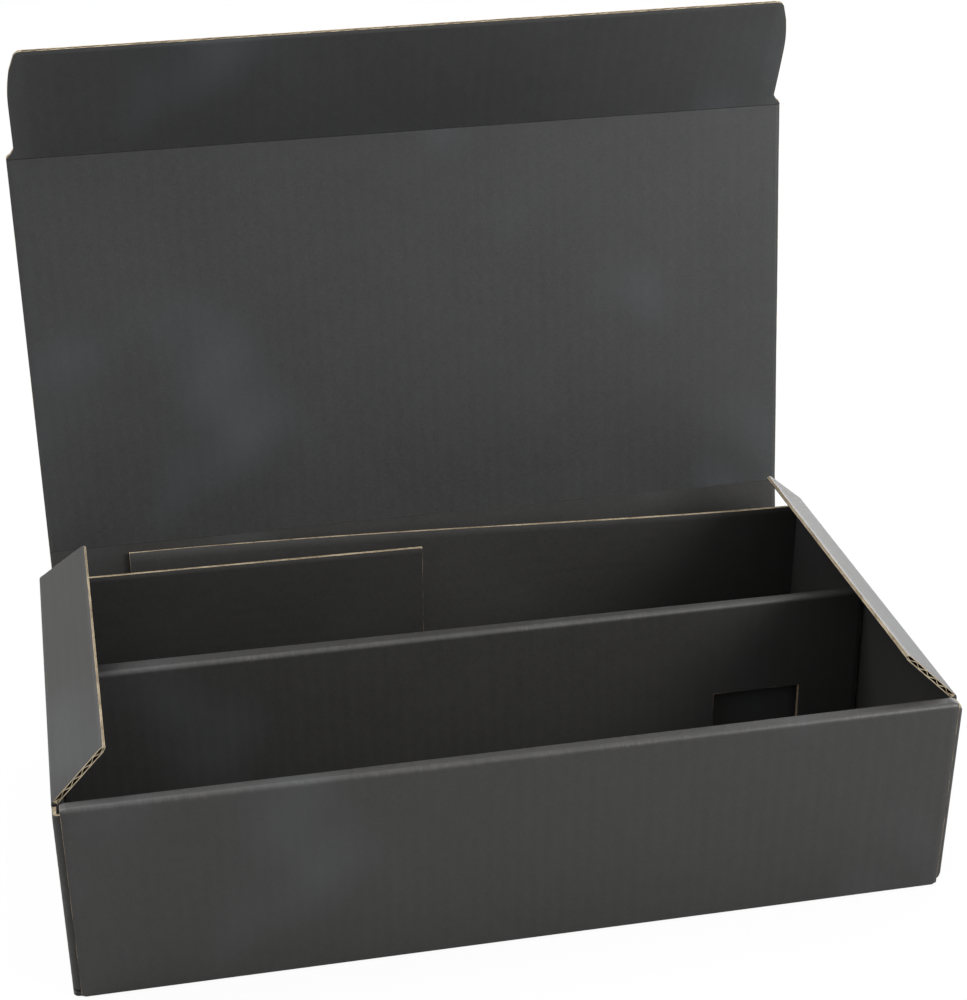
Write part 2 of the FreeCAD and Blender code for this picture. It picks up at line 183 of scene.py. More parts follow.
@dataclass(frozen=True)
class BoxSizes:
    """Sizes of the box in metres and degrees, as the solids have them."""

    width: float = 0.400
    depth: float = 0.212
    front_height: float = 0.100
    side_height: float = 0.0985
    front_inset: float = 0.0035
    layer_gap: float = 0.0001
    fit_gap: float = 0.0004
    crease_gap: float = 0.0003
    board: float = 0.0025
    front_tab: float = 0.085
    front_tab_height: float = 0.096
    rear_tab_left: float = 0.194
    rear_tab_left_height: float = 0.0955
    rear_tab_skew: float = 1.4
    rear_tab_right: float = 0.3515
    rear_tab_root_height: float = 0.094
    rear_tab_end_height: float = 0.0965
    divider_front: float = 0.1063
    divider_run: float = 0.0057
    divider_height: float = 0.0955
    divider_left: float = 0.0105
    divider_right: float = 0.0055
    window_left: float = 0.122
    window_width: float = 0.044
    window_sill: float = 0.009
    window_height: float = 0.038
    back_height: float = 0.098
    back_lean: float = 13.7
    lid_width: float = 0.388
    lid_length: float = 0.199
    lid_angle: float = 99.7
    lid_relief: float = 34.0
    tuck_length: float = 0.060
    tuck_bend: float = 30.0
    tuck_side: float = 0.380
    tuck_tip: float = 0.371
    tuck_taper: float = 0.020
    tuck_notch: float = 0.0055
    tuck_corner: float = 0.004
    flap_width: float = 0.032
    flap_start: float = 0.011
    flap_front_bevel: float = 0.0033
    flap_rear_bevel: float = 0.0135
    flap_angle_left: float = 45.0
    flap_angle_right: float = 44.0

    @property
    def front(self) -> float:
        """Y of the front wall's outer face."""
        return -self.depth / 2

    @property
    def roll_back(self) -> float:
        """Y of the rolled-over front wall's inner face."""
        return self.front + 3 * self.board + 2 * self.layer_gap

    @property
    def tab_front(self) -> float:
        """Y of the front corner tabs' outer faces."""
        return self.front + self.board + self.layer_gap

    @property
    def back_crease(self) -> float:
        """Y of the crease between the floor and the back wall."""
        return self.depth / 2 - self.board

    @property
    def wall_end(self) -> float:
        """Y of the rear ends of the floor and the right wall."""
        return self.back_crease - self.fit_gap

    @property
    def inside(self) -> float:
        """X of the side walls' inner faces."""
        return self.width / 2 - self.board

    @property
    def liner_half(self) -> float:
        """Half the length of the front wall and the divider."""
        return self.width / 2 - self.front_inset

    @property
    def side_crease(self) -> float:
        """Z of the dust flaps' creases."""
        return self.side_height - self.board

    @property
    def left_end(self) -> float:
        """Y of the left wall's rear end, which the left rear tab's skew moves back a little."""
        overlap = self.width - self.board - self.rear_tab_right
        spring = overlap * math.tan(math.radians(self.rear_tab_skew))
        return self.wall_end - self.board - self.fit_gap / 2 + spring

    @property
    def flap_front(self) -> float:
        """Y of the dust flaps' front ends at the crease."""
        return self.front + self.flap_start

    @property
    def slit(self) -> float:
        """Half the slit along a moving crease."""
        return self.crease_gap / 2

    @property
    def lid_bevel(self) -> float:
        """How far the outer facing stops short of the lid's crease."""
        return self.slit + self.board * math.tan(math.radians(self.lid_relief))

    @property
    def floor_axis(self) -> Vector:
        """A point on the back wall's crease."""
        return Vector((0, self.back_crease, self.board))

    def back_way(self) -> tuple[Vector, Vector]:
        """Direction up the back wall and outwards from it.

        Returns:
            Two unit vectors.
        """
        lean = math.radians(self.back_lean)
        return (
            Vector((0, math.sin(lean), math.cos(lean))),
            Vector((0, math.cos(lean), -math.sin(lean))),
        )

    def lid_way(self, bend: float = 0.0) -> tuple[Vector, Vector]:
        """Direction along the lid, or along the tuck flap, and outwards from it.

        Args:
            bend: Degrees that the panel bends from the lid's plane.

        Returns:
            Two unit vectors.
        """
        turn = math.radians(self.lid_angle - bend)
        return (
            Vector((0, -math.cos(turn), math.sin(turn))),
            Vector((0, math.sin(turn), math.cos(turn))),
        )

    def flap_rear(self, side: Side) -> float:
        """Y of a dust flap's rear end at the crease."""
        return (self.left_end if side is Side.LEFT else self.wall_end) - self.slit

    def flap_axis(self, side: Side) -> Vector:
        """A point on a dust flap's crease."""
        return Vector((side * self.inside, 0, self.side_crease))

    def flap_way(self, side: Side) -> tuple[Vector, Vector]:
        """Direction along a dust flap's width, away from its crease, and outwards from it.

        Args:
            side: The flap's side of the box.

        Returns:
            Two unit vectors.
        """
        lift = self.flap_angle_left if side is Side.LEFT else self.flap_angle_right
        turn = math.radians(lift)
        return (
            Vector((-side * math.cos(turn), 0, math.sin(turn))),
            Vector((side * math.sin(turn), 0, math.cos(turn))),
        )

    @property
    def lid_axis(self) -> Vector:
        """A point on the lid's crease."""
        return self.floor_axis + self.back_way()[0] * self.back_height

    @property
    def tuck_axis(self) -> Vector:
        """A point on the tuck flap's crease."""
        return self.lid_axis + self.lid_way()[0] * self.lid_length


@dataclass(frozen=True)
class Station:
    """One line across a sheet, where its path has got to.

    Attributes:
        point: On the inner facing, at spread 0.
        through: From the inner facing to the outer one, as long as the board is thick.
        run: Unit vector along the path.
        across: Step in space for a step of one along the spread.
        distance: Way covered on the flat blank.
        low: Spread at which the sheet begins.
        high: Spread at which it ends.
        wear_and_highlight: How far the facings are scuffed here, and how strong the painted
            highlight of a fold is, from 0 to 1.
        relief: Share of the waves that shows through the facings, 0 where they are pressed flat.
    """

    point: Vector
    through: Vector
    run: Vector
    across: Vector
    distance: float
    low: float
    high: float
    wear_and_highlight: float = 0.0
    relief: float = 1.0

    def place(self, spread: float, depth: float) -> Vector:
        """A point of the board, at a spread and a share of the thickness."""
        return self.point + self.across * spread + self.through * depth


class FoldedPath:
    """Lays out a sheet's stations, panel by panel and fold by fold."""

    def __init__(
        self, point: Vector, run: Vector, outwards: Vector, across: Vector,
        limits: tuple[float, float], thickness: float,
    ) -> None:
        """Starts a path.

        Args:
            point: First point on the inner facing.
            run: Unit vector along the first panel.
            outwards: Unit vector from the inner to the outer facing.
            across: Direction of the spread.
            limits: Spread at which the sheet begins and ends.
            thickness: The board's.
        """
        self.point = point.copy()
        self.run = run.copy()
        self.outwards = outwards.copy()
        self.across = across.copy()
        self.limits = limits
        self.thickness = thickness
        self.distance = 0.0
        self.stations: list[Station] = []
        self.mark()

    def mark(self, wear_and_highlight: float = 0.0, relief: float = 1.0) -> "FoldedPath":
        """Adds a station where the path has got to.

        Args:
            wear_and_highlight: How far the facings are scuffed here, with the painted highlight of
                a fold.
            relief: Share of the waves that shows through the facings.

        Returns:
            The path.
        """
        self.stations.append(Station(
            self.point.copy(), self.outwards * self.thickness, self.run.copy(), self.across.copy(),
            self.distance, *self.limits, wear_and_highlight, relief,
        ))
        return self

    def straight(self, length: float, stops: Iterable[float] = ()) -> "FoldedPath":
        """Goes on along a flat panel.

        Args:
            length: Length of the panel.
            stops: Distances along it at which stations are needed.

        Returns:
            The path.
        """
        base, start = self.point.copy(), self.distance
        marks = {stop for stop in stops if END_STOPS[-1] < stop < length - END_STOPS[-1]}
        if length > 3 * END_STOPS[-1]:
            marks |= {stop for end in END_STOPS for stop in (end, length - end)}
        for stop in sorted(marks):
            self.point = base + self.run * stop
            self.distance = start + stop
            near = min(stop, length - stop) / END_STOPS[-1]
            self.mark(relief=min(1.0, PRESSED + (1 - PRESSED) * near))
        self.point = base + self.run * length
        self.distance = start + length
        return self.mark(relief=PRESSED)

    def fold(self, degrees: float, inside: Facing, steps: int = 6) -> "FoldedPath":
        """Folds the board about one of its facings.

        Args:
            degrees: Angle of the fold.
            inside: The facing that ends up inside the fold.
            steps: Facets of the rounded outside.

        Returns:
            The path.
        """
        hand, offset = (1.0, 0.0) if inside is Facing.INNER else (-1.0, self.thickness)
        pivot = self.point + self.outwards * offset
        run, outwards, start = self.run.copy(), self.outwards.copy(), self.distance
        for step in range(1, steps + 1):
            turn = math.radians(degrees) * step / steps
            self.run = run * math.cos(turn) - outwards * (hand * math.sin(turn))
            self.outwards = outwards * math.cos(turn) + run * (hand * math.sin(turn))
            self.point = pivot - self.outwards * offset
            self.distance = start + turn * self.thickness / 2
            # Scuffing and painted highlight are strongest at the middle of the fold's round.
            self.mark(wear_and_highlight=math.sin(math.pi * step / steps), relief=PRESSED)
        return self


@dataclass(frozen=True)
class Borders:
    """What each of a sheet's four borders is.

    Attributes:
        start: The border at the path's start.
        end: The border at its end.
        low: The border at the low spread.
        high: The border at the high spread.
        open_share: Share of the thickness that stays at a cut across the flutes.
        joined: Spreads between which a cut start and end go on into a crease instead.
    """

    start: Border = Border.CREASE
    end: Border = Border.CREASE
    low: Border = Border.CUT_ALONG
    high: Border = Border.CUT_ALONG
    open_share: float = 0.85
    joined: tuple[float, float] = (0.0, 0.0)

    def is_joined(self, spread: float) -> bool:
        """Whether the start and the end go on into a crease at this spread."""
        return self.joined[0] < spread < self.joined[1]


@dataclass(frozen=True)
class Hole:
    """A rectangular hole, from its low to its high spread and distance."""

    spread: tuple[float, float]
    distance: tuple[float, float]

    def holds(self, spread: float, distance: float) -> bool:
        """Whether a place lies in the hole."""
        return (
            self.spread[0] < spread < self.spread[1]
            and self.distance[0] < distance < self.distance[1]
        )

    def rims(self, spread: float, distance: float) -> bool:
        """Whether a place lies in the hole or on its rim.

        Args:
            spread: The place's spread.
            distance: Its distance along the path.

        Returns:
            True on the rim too, within a hundredth of a millimetre.
        """
        close = 1e-5
        grown = Hole(
            (self.spread[0] - close, self.spread[1] + close),
            (self.distance[0] - close, self.distance[1] + close),
        )
        return grown.holds(spread, distance)


@dataclass(frozen=True)
class Rim:
    """One point of a sheet's border.

    Attributes:
        inner: Index of its vertex on the inner facing.
        outer: Index of its vertex on the outer facing.
        station: The station that it lies on.
        spread: Its place along the station.
        inwards: Unit vector away from the border, into the board.
    """

    inner: int
    outer: int
    station: Station
    spread: float
    inwards: Vector


@dataclass
class BoardSheet:
    """A sheet of board on a folded path, built as one closed mesh.

    Attributes:
        board: The board that the sheet is cut from.
        stations: Lines across the sheet.
        marks: Places along the spread at which columns are wanted.
        flutes: Which way the waves run.
        borders: What the four borders are.
        hole: A hole through the sheet, if it has one.
        places, blank: Each vertex in space and on the blank.
        wear, cut: How far it is scuffed and painted with a fold's highlight, and how near to a cut
            it lies, which also sets the painted shade deep in a cut's open cells.
        faces, papers: Each face's vertices, and the paper that it shows.
    """

    board: Board
    stations: list[Station]
    marks: list[float]
    flutes: Flutes
    borders: Borders
    hole: Optional[Hole] = None
    places: list[Vector] = field(default_factory=list, init=False)
    blank: list[tuple[float, float, float]] = field(default_factory=list, init=False)
    wear_and_highlight: list[float] = field(default_factory=list, init=False)
    cut: list[float] = field(default_factory=list, init=False)
    faces: list[list[int]] = field(default_factory=list, init=False)
    papers: list[Paper] = field(default_factory=list, init=False)

    def columns(self, station: Station) -> list[float]:
        """Places along the spread at one station, its two borders included.

        Args:
            station: The station.

        Returns:
            The places, from low to high, as many at every station.
        """
        low = max(line.low for line in self.stations) + END_STOPS[-1]
        high = min(line.high for line in self.stations) - END_STOPS[-1]
        least = self.board.pitch * CLOSEST
        return [
            station.low, *(station.low + stop for stop in END_STOPS),
            *(mark for mark in self.marks if low + least < mark < high - least),
            *(station.high - stop for stop in reversed(END_STOPS)), station.high,
        ]

    def cuts(self, station: Station, spread: float) -> list[tuple[float, Border]]:
        """Distance from a place to each of the sheet's cut borders, and which kind it is.

        Args:
            station: The station that the place lies on.
            spread: Its place along the station.

        Returns:
            A pair for each border that is cut.
        """
        start, end = self.borders.start, self.borders.end
        if self.borders.is_joined(spread):
            start = end = Border.CREASE
        borders = (
            (station.distance - self.stations[0].distance, start),
            (self.stations[-1].distance - station.distance, end),
            (spread - station.low, self.borders.low),
            (station.high - spread, self.borders.high),
        )
        return [(gap, kind) for gap, kind in borders if kind is not Border.CREASE]

    def firmness(self, station: Station, spread: float, inside: float) -> float:
        """Share of the thickness that the knife has left at a place.

        Args:
            station: The station that the place lies on.
            spread: Its place along the station.
            inside: Distance that it lies inside the border at which it starts.

        Returns:
            A share from 0 to 1.
        """
        least = 1.0
        for gap, kind in self.cuts(station, spread):
            left = self.borders.open_share
            if kind is Border.CUT_ALONG:
                along = station.distance + spread
                left = self.board.crush
                for share, turns in KNIFE_SWAYS:
                    left += share * math.sin(turns * along)
            near = min(1.0, max(gap, inside if gap < WELD else gap) / self.board.ease)
            least = min(least, left + (1 - left) * near * near * (3 - 2 * near))
        return least

    def across_flutes(self, station: Station, spread: float) -> float:
        """Place across the flutes, which sets the wave's phase."""
        return spread if self.flutes is Flutes.WITH_PATH else station.distance

    def add_point(
        self, station: Station, spread: float, height: float, inwards: Optional[Vector] = None,
        inside: float = 0.0,
    ) -> int:
        """Adds a vertex of the board.

        Args:
            station: The station that it lies on.
            spread: Its place along the station.
            height: Its height in the board's thickness.
            inwards: Unit vector away from the border that it belongs to.
            inside: Distance that it lies inside that border.

        Returns:
            Index of the vertex.
        """
        middle = self.board.thickness / 2
        squeezed = middle + (height - middle) * self.firmness(station, spread, inside)
        place = station.place(spread, squeezed / self.board.thickness)
        self.places.append(place + inwards * inside if inwards else place)
        along = station.distance if self.flutes is Flutes.WITH_PATH else spread
        self.blank.append((self.across_flutes(station, spread), along, height))
        self.wear_and_highlight.append(0.0 if inwards else station.wear_and_highlight)
        gap = min((gap for gap, _ in self.cuts(station, spread)), default=1.0)
        # Inside a cut edge this nearness falls with depth and sets the painted shade of the open
        # cells; on the facings it sets the chipped print.
        near = 1 - inside / self.board.recess if inwards else 1 - gap / self.board.bare
        if self.hole and self.hole.rims(spread, station.distance):
            near = 1.0
        self.cut.append(max(0.0, near))
        return len(self.places) - 1

    def add_face(self, corners: Sequence[int], paper: Paper) -> None:
        """Adds a face, leaving out corners that repeat and faces with fewer than three.

        Args:
            corners: Indices of its vertices, in order.
            paper: The paper that it shows.
        """
        kept = [corner for at, corner in enumerate(corners) if corner != corners[at - 1]]
        if len(set(kept)) >= 3:
            self.faces.append(kept)
            self.papers.append(paper)

    def add_facings(self) -> list[list[tuple[int, int]]]:
        """Adds both facings.

        Returns:
            For each station, the inner and the outer vertex of each column.
        """
        grid = []
        for station in self.stations:
            row = []
            for spread in self.columns(station):
                inner_dip, outer_dip = self.board.dips(self.across_flutes(station, spread))
                row.append((
                    self.add_point(station, spread, inner_dip * station.relief),
                    self.add_point(
                        station, spread, self.board.thickness - outer_dip * station.relief
                    ),
                ))
            grid.append(row)
        for at in range(len(grid) - 1):
            for column in range(len(grid[at]) - 1):
                if self.is_open(at, column):
                    self.close_hole(grid, at, column)
                    continue
                ring = [grid[at][column], grid[at][column + 1],
                        grid[at + 1][column + 1], grid[at + 1][column]]
                self.add_face([corner[0] for corner in reversed(ring)], Paper.LINER)
                self.add_face([corner[1] for corner in ring], Paper.LINER)
        return grid

    def is_open(self, at: int, column: int) -> bool:
        """Whether a cell of the grid lies in the sheet's hole.

        Args:
            at: Index of the station at which the cell begins.
            column: Index of the column at which it begins.

        Returns:
            False for a place outside the grid too.
        """
        if self.hole is None or not 0 <= at < len(self.stations) - 1:
            return False
        spreads = self.columns(self.stations[at])
        if not 0 <= column < len(spreads) - 1:
            return False
        spread = (spreads[column] + spreads[column + 1]) / 2
        distance = (self.stations[at].distance + self.stations[at + 1].distance) / 2
        return self.hole.holds(spread, distance)

    def close_hole(self, grid: list[list[tuple[int, int]]], at: int, column: int) -> None:
        """Adds the hole's wall beside one of its cells, where the next cell is board.

        Args:
            grid: For each station, the inner and the outer vertex of each column.
            at: Index of the station at which the cell begins.
            column: Index of the column at which it begins.
        """
        sides = {
            (at - 1, column): ((at, column), (at, column + 1)),
            (at + 1, column): ((at + 1, column), (at + 1, column + 1)),
            (at, column - 1): ((at, column), (at + 1, column)),
            (at, column + 1): ((at, column + 1), (at + 1, column + 1)),
        }
        for beside, ((a, b), (c, d)) in sides.items():
            if not self.is_open(*beside):
                first, second = grid[a][b], grid[c][d]
                self.add_face([first[0], second[0], second[1], first[1]], Paper.KRAFT)

    def add_border(self, rims: list[Rim], kind: Border, joins: bool) -> None:
        """Closes one border.

        Args:
            rims: Points of the border, in order.
            kind: What the border is.
            joins: Whether the border can go on into a crease along a part of it.
        """
        chains = []
        for at, rim in enumerate(rims):
            steps = self.profile(rim, kind)
            if at in (0, len(rims) - 1) or (joins and self.borders.is_joined(rim.spread)):
                half = (len(steps) + 2) // 2
                chains.append([rim.inner] * half + [rim.outer] * half)
                continue
            middle = [
                self.add_point(rim.station, rim.spread, height, rim.inwards, inset)
                for height, inset in steps
            ]
            chains.append([rim.inner, *middle, rim.outer])
        paper = Paper.LINER if kind is Border.CREASE else Paper.KRAFT
        for first, second in zip(chains, chains[1:]):
            for level in range(len(first) - 1):
                self.add_face(
                    [first[level], second[level], second[level + 1], first[level + 1]], paper
                )

    def profile(self, rim: Rim, kind: Border) -> list[tuple[float, float]]:
        """Heights and insets of a cut edge, from the inner facing to the outer one.

        Args:
            rim: The point of the border.
            kind: What the border is.

        Returns:
            Pairs of a height in the board and a distance inside the border.
        """
        board = self.board
        lower, upper = board.liner, board.thickness - board.liner
        if kind is Border.CREASE:
            return []
        if kind is Border.CUT_ALONG:
            along = rim.spread + rim.station.distance
            swings = [math.sin(turns * along) for turns in TORN_SWAYS]
            torn = board.tear * (1 - TORN_SHARE + TORN_SHARE * swings[0] * swings[1])
            return [(lower, 0.0), (lower, torn), (upper, torn), (upper, 0.0)]
        under, over = board.core_span(self.across_flutes(rim.station, rim.spread))
        deep = board.recess
        return [(lower, 0.0), (lower, deep), (under, deep), (under, 0.0),
                (over, 0.0), (over, deep), (upper, deep), (upper, 0.0)]

    def add_borders(self, grid: list[list[tuple[int, int]]]) -> None:
        """Closes all four borders.

        Args:
            grid: For each station, the inner and the outer vertex of each column.
        """
        for at, sign, kind in ((0, 1, self.borders.start), (-1, -1, self.borders.end)):
            station = self.stations[at]
            rims = [
                Rim(*pair, station, spread, station.run * sign)
                for pair, spread in zip(grid[at], self.columns(station))
            ]
            self.add_border(rims, kind, joins=True)
        for at, sign, kind in ((0, 1, self.borders.low), (-1, -1, self.borders.high)):
            rims = [
                Rim(*row[at], station, self.columns(station)[at],
                    station.across.normalized() * sign)
                for row, station in zip(grid, self.stations)
            ]
            self.add_border(rims, kind, joins=False)

    def build(self, name: str) -> bpy.types.Object:
        """Builds the sheet.

        Args:
            name: Name of the new object.

        Returns:
            The object, with the blank's coordinates, the scuffing with its painted highlight, and
            the cut's nearness as attributes.
        """
        self.add_borders(self.add_facings())
        mesh = bpy.data.meshes.new(name)
        mesh.from_pydata([tuple(place) for place in self.places], [], self.faces)
        mesh.polygons.foreach_set("material_index", self.papers)
        blank = mesh.attributes.new("blank", "FLOAT_VECTOR", "POINT")
        blank.data.foreach_set("vector", [value for point in self.blank for value in point])
        for label, values in (("wear_and_highlight", self.wear_and_highlight), ("cut", self.cut)):
            mesh.attributes.new(label, "FLOAT", "POINT").data.foreach_set("value", values)
        shape = bmesh.new()
        shape.from_mesh(mesh)
        bmesh.ops.remove_doubles(shape, verts=shape.verts, dist=WELD)
        bmesh.ops.recalc_face_normals(shape, faces=shape.faces)
        shape.to_mesh(mesh)
        shape.free()
        mesh.polygons.foreach_set("use_smooth", [True] * len(mesh.polygons))
        mesh.set_sharp_from_angle(angle=SHARP_EDGE)
        piece = bpy.data.objects.new(name, mesh)
        bpy.context.scene.collection.objects.link(piece)
        return piece


def steps_between(low: float, high: float, step: float) -> list[float]:
    """Multiples of a step that lie between two values."""
    counts = range(math.ceil(low / step), math.floor(high / step) + 1)
    return [count * step for count in counts]


@dataclass(frozen=True)
class Grain:
    """One noise over a sheet.

    Attributes:
        scale: Its frequencies across the flutes, along them and through the board, per metre.
        detail: How many finer octaves it has.
        rough: How strong they are.
        span: Values between which a mask made of it sets in.
    """

    scale: tuple[float, float, float]
    detail: float = 3.0
    rough: float = 0.5
    span: tuple[float, float] = (0.0, 1.0)


class NodeDesk:
    """Adds and links shader nodes in one tree."""

    def __init__(
        self, tree: bpy.types.NodeTree, owner: Optional[bpy.types.Material] = None
    ) -> None:
        """Takes the tree that is worked on, and the material that it belongs to."""
        self.tree = tree
        self.owner = owner

    def feed(self, node: bpy.types.Node, inputs: dict) -> None:
        """Gives a node's inputs a value or an output socket each.

        Args:
            node: The node.
            inputs: A value or a socket for each input, by name or number.
        """
        for socket, value in inputs.items():
            if isinstance(value, bpy.types.NodeSocket):
                self.tree.links.new(value, node.inputs[socket])
            else:
                node.inputs[socket].default_value = value

    def attribute(self, label: str, output: str = "Fac") -> bpy.types.NodeSocket:
        """Adds one of the sheet's attributes and gives one of its outputs."""
        return self.add("ShaderNodeAttribute", attribute_name=label).outputs[output]

    def add(self, kind: str, inputs: Optional[dict] = None, **settings: object) -> bpy.types.Node:
        """Adds a node.

        Args:
            kind: Blender's name of the node's type.
            inputs: A value or an output socket for each input, by name or number.
            **settings: The node's own settings.

        Returns:
            The node.
        """
        node = self.tree.nodes.new(kind)
        for setting, value in settings.items():
            setattr(node, setting, value)
        self.feed(node, inputs or {})
        return node

    def math(self, operation: str, *values: object, clamp: bool = False) -> bpy.types.NodeSocket:
        """Adds a Math node.

        Args:
            operation: Blender's name of the operation.
            *values: A number or an output socket for each input.
            clamp: Whether the result is kept between 0 and 1.

        Returns:
            The node's output.
        """
        node = self.add("ShaderNodeMath", dict(enumerate(values)), operation=operation)
        node.use_clamp = clamp
        return node.outputs[0]

    def weigh(self, *parts: tuple[object, float]) -> bpy.types.NodeSocket:
        """Adds up values, each multiplied by its share.

        Args:
            *parts: Pairs of an output socket and its share.

        Returns:
            The sum's output.
        """
        total, *others = (self.math("MULTIPLY", value, share) for value, share in parts)
        for other in others:
            total = self.math("ADD", total, other)
        return total

    def grey(self, value: object) -> bpy.types.NodeSocket:
        """Adds a grey of a value's brightness and gives its colour."""
        return self.add("ShaderNodeCombineColor", dict.fromkeys(range(3), value)).outputs[0]

    def mix(
        self, factor: object, first: object, second: object, blend: str = "MIX"
    ) -> bpy.types.NodeSocket:
        """Adds a colour mix.

        Args:
            factor: Share of the second colour.
            first: The first colour.
            second: The second colour.
            blend: Blender's name of the way to mix them.

        Returns:
            The node's output.
        """
        node = self.add("ShaderNodeMix", {0: factor, 6: first, 7: second},
                        data_type="RGBA", blend_type=blend)
        return node.outputs[2]

    def noise(self, blank: object, grain: Grain) -> bpy.types.NodeSocket:
        """Adds a noise over a sheet.

        Args:
            blank: Output with the place on the blank.
            grain: The noise.

        Returns:
            The output with its value.
        """
        place = self.add(
            "ShaderNodeVectorMath", {0: blank, 1: grain.scale}, operation="MULTIPLY"
        )
        node = self.add("ShaderNodeTexNoise", {
            "Vector": place.outputs[0], "Scale": 1.0, "Detail": grain.detail,
            "Roughness": grain.rough,
        })
        return node.outputs[0]

    def mask(self, blank: object, grain: Grain) -> bpy.types.NodeSocket:
        """Adds a noise over a sheet that rises from 0 to 1 within its grain's span."""
        return self.remap(self.noise(blank, grain), *grain.span)

    def remap(self, value: object, low: float, high: float) -> bpy.types.NodeSocket:
        """Maps a value to 0..1, clamped and smoothed.

        Args:
            value: The output with the value.
            low: Value that gives 0.
            high: Value that gives 1.

        Returns:
            The node's output.
        """
        node = self.add("ShaderNodeMapRange", {0: value, 1: low, 2: high},
                        interpolation_type="SMOOTHSTEP")
        return node.outputs[0]


class EffectGroup:
    """A shader node group with named inputs and outputs."""

    def __init__(self, name: str, inputs: dict[str, object], outputs: dict[str, str]) -> None:
        """Makes the group's sockets.

        Args:
            name: Name of the group.
            inputs: Default of each input; a float, a colour of four or None for a vector.
            outputs: Socket type of each output.
        """
        self.tree = bpy.data.node_groups.new(name, "ShaderNodeTree")
        self.desk = NodeDesk(self.tree)
        for label, default in inputs.items():
            kind = ("NodeSocketVector" if default is None
                    else "NodeSocketFloat" if isinstance(default, float) else "NodeSocketColor")
            socket = self.tree.interface.new_socket(label, in_out="INPUT", socket_type=kind)
            if default is not None:
                socket.default_value = default
        for label, kind in outputs.items():
            self.tree.interface.new_socket(label, in_out="OUTPUT", socket_type=kind)
        self.given = self.desk.add("NodeGroupInput").outputs
        self.result = self.desk.add("NodeGroupOutput")

    def put_out(self, label: str, value: bpy.types.NodeSocket) -> None:
        """Links a value to one of the group's outputs."""
        self.tree.links.new(value, self.result.inputs[label])


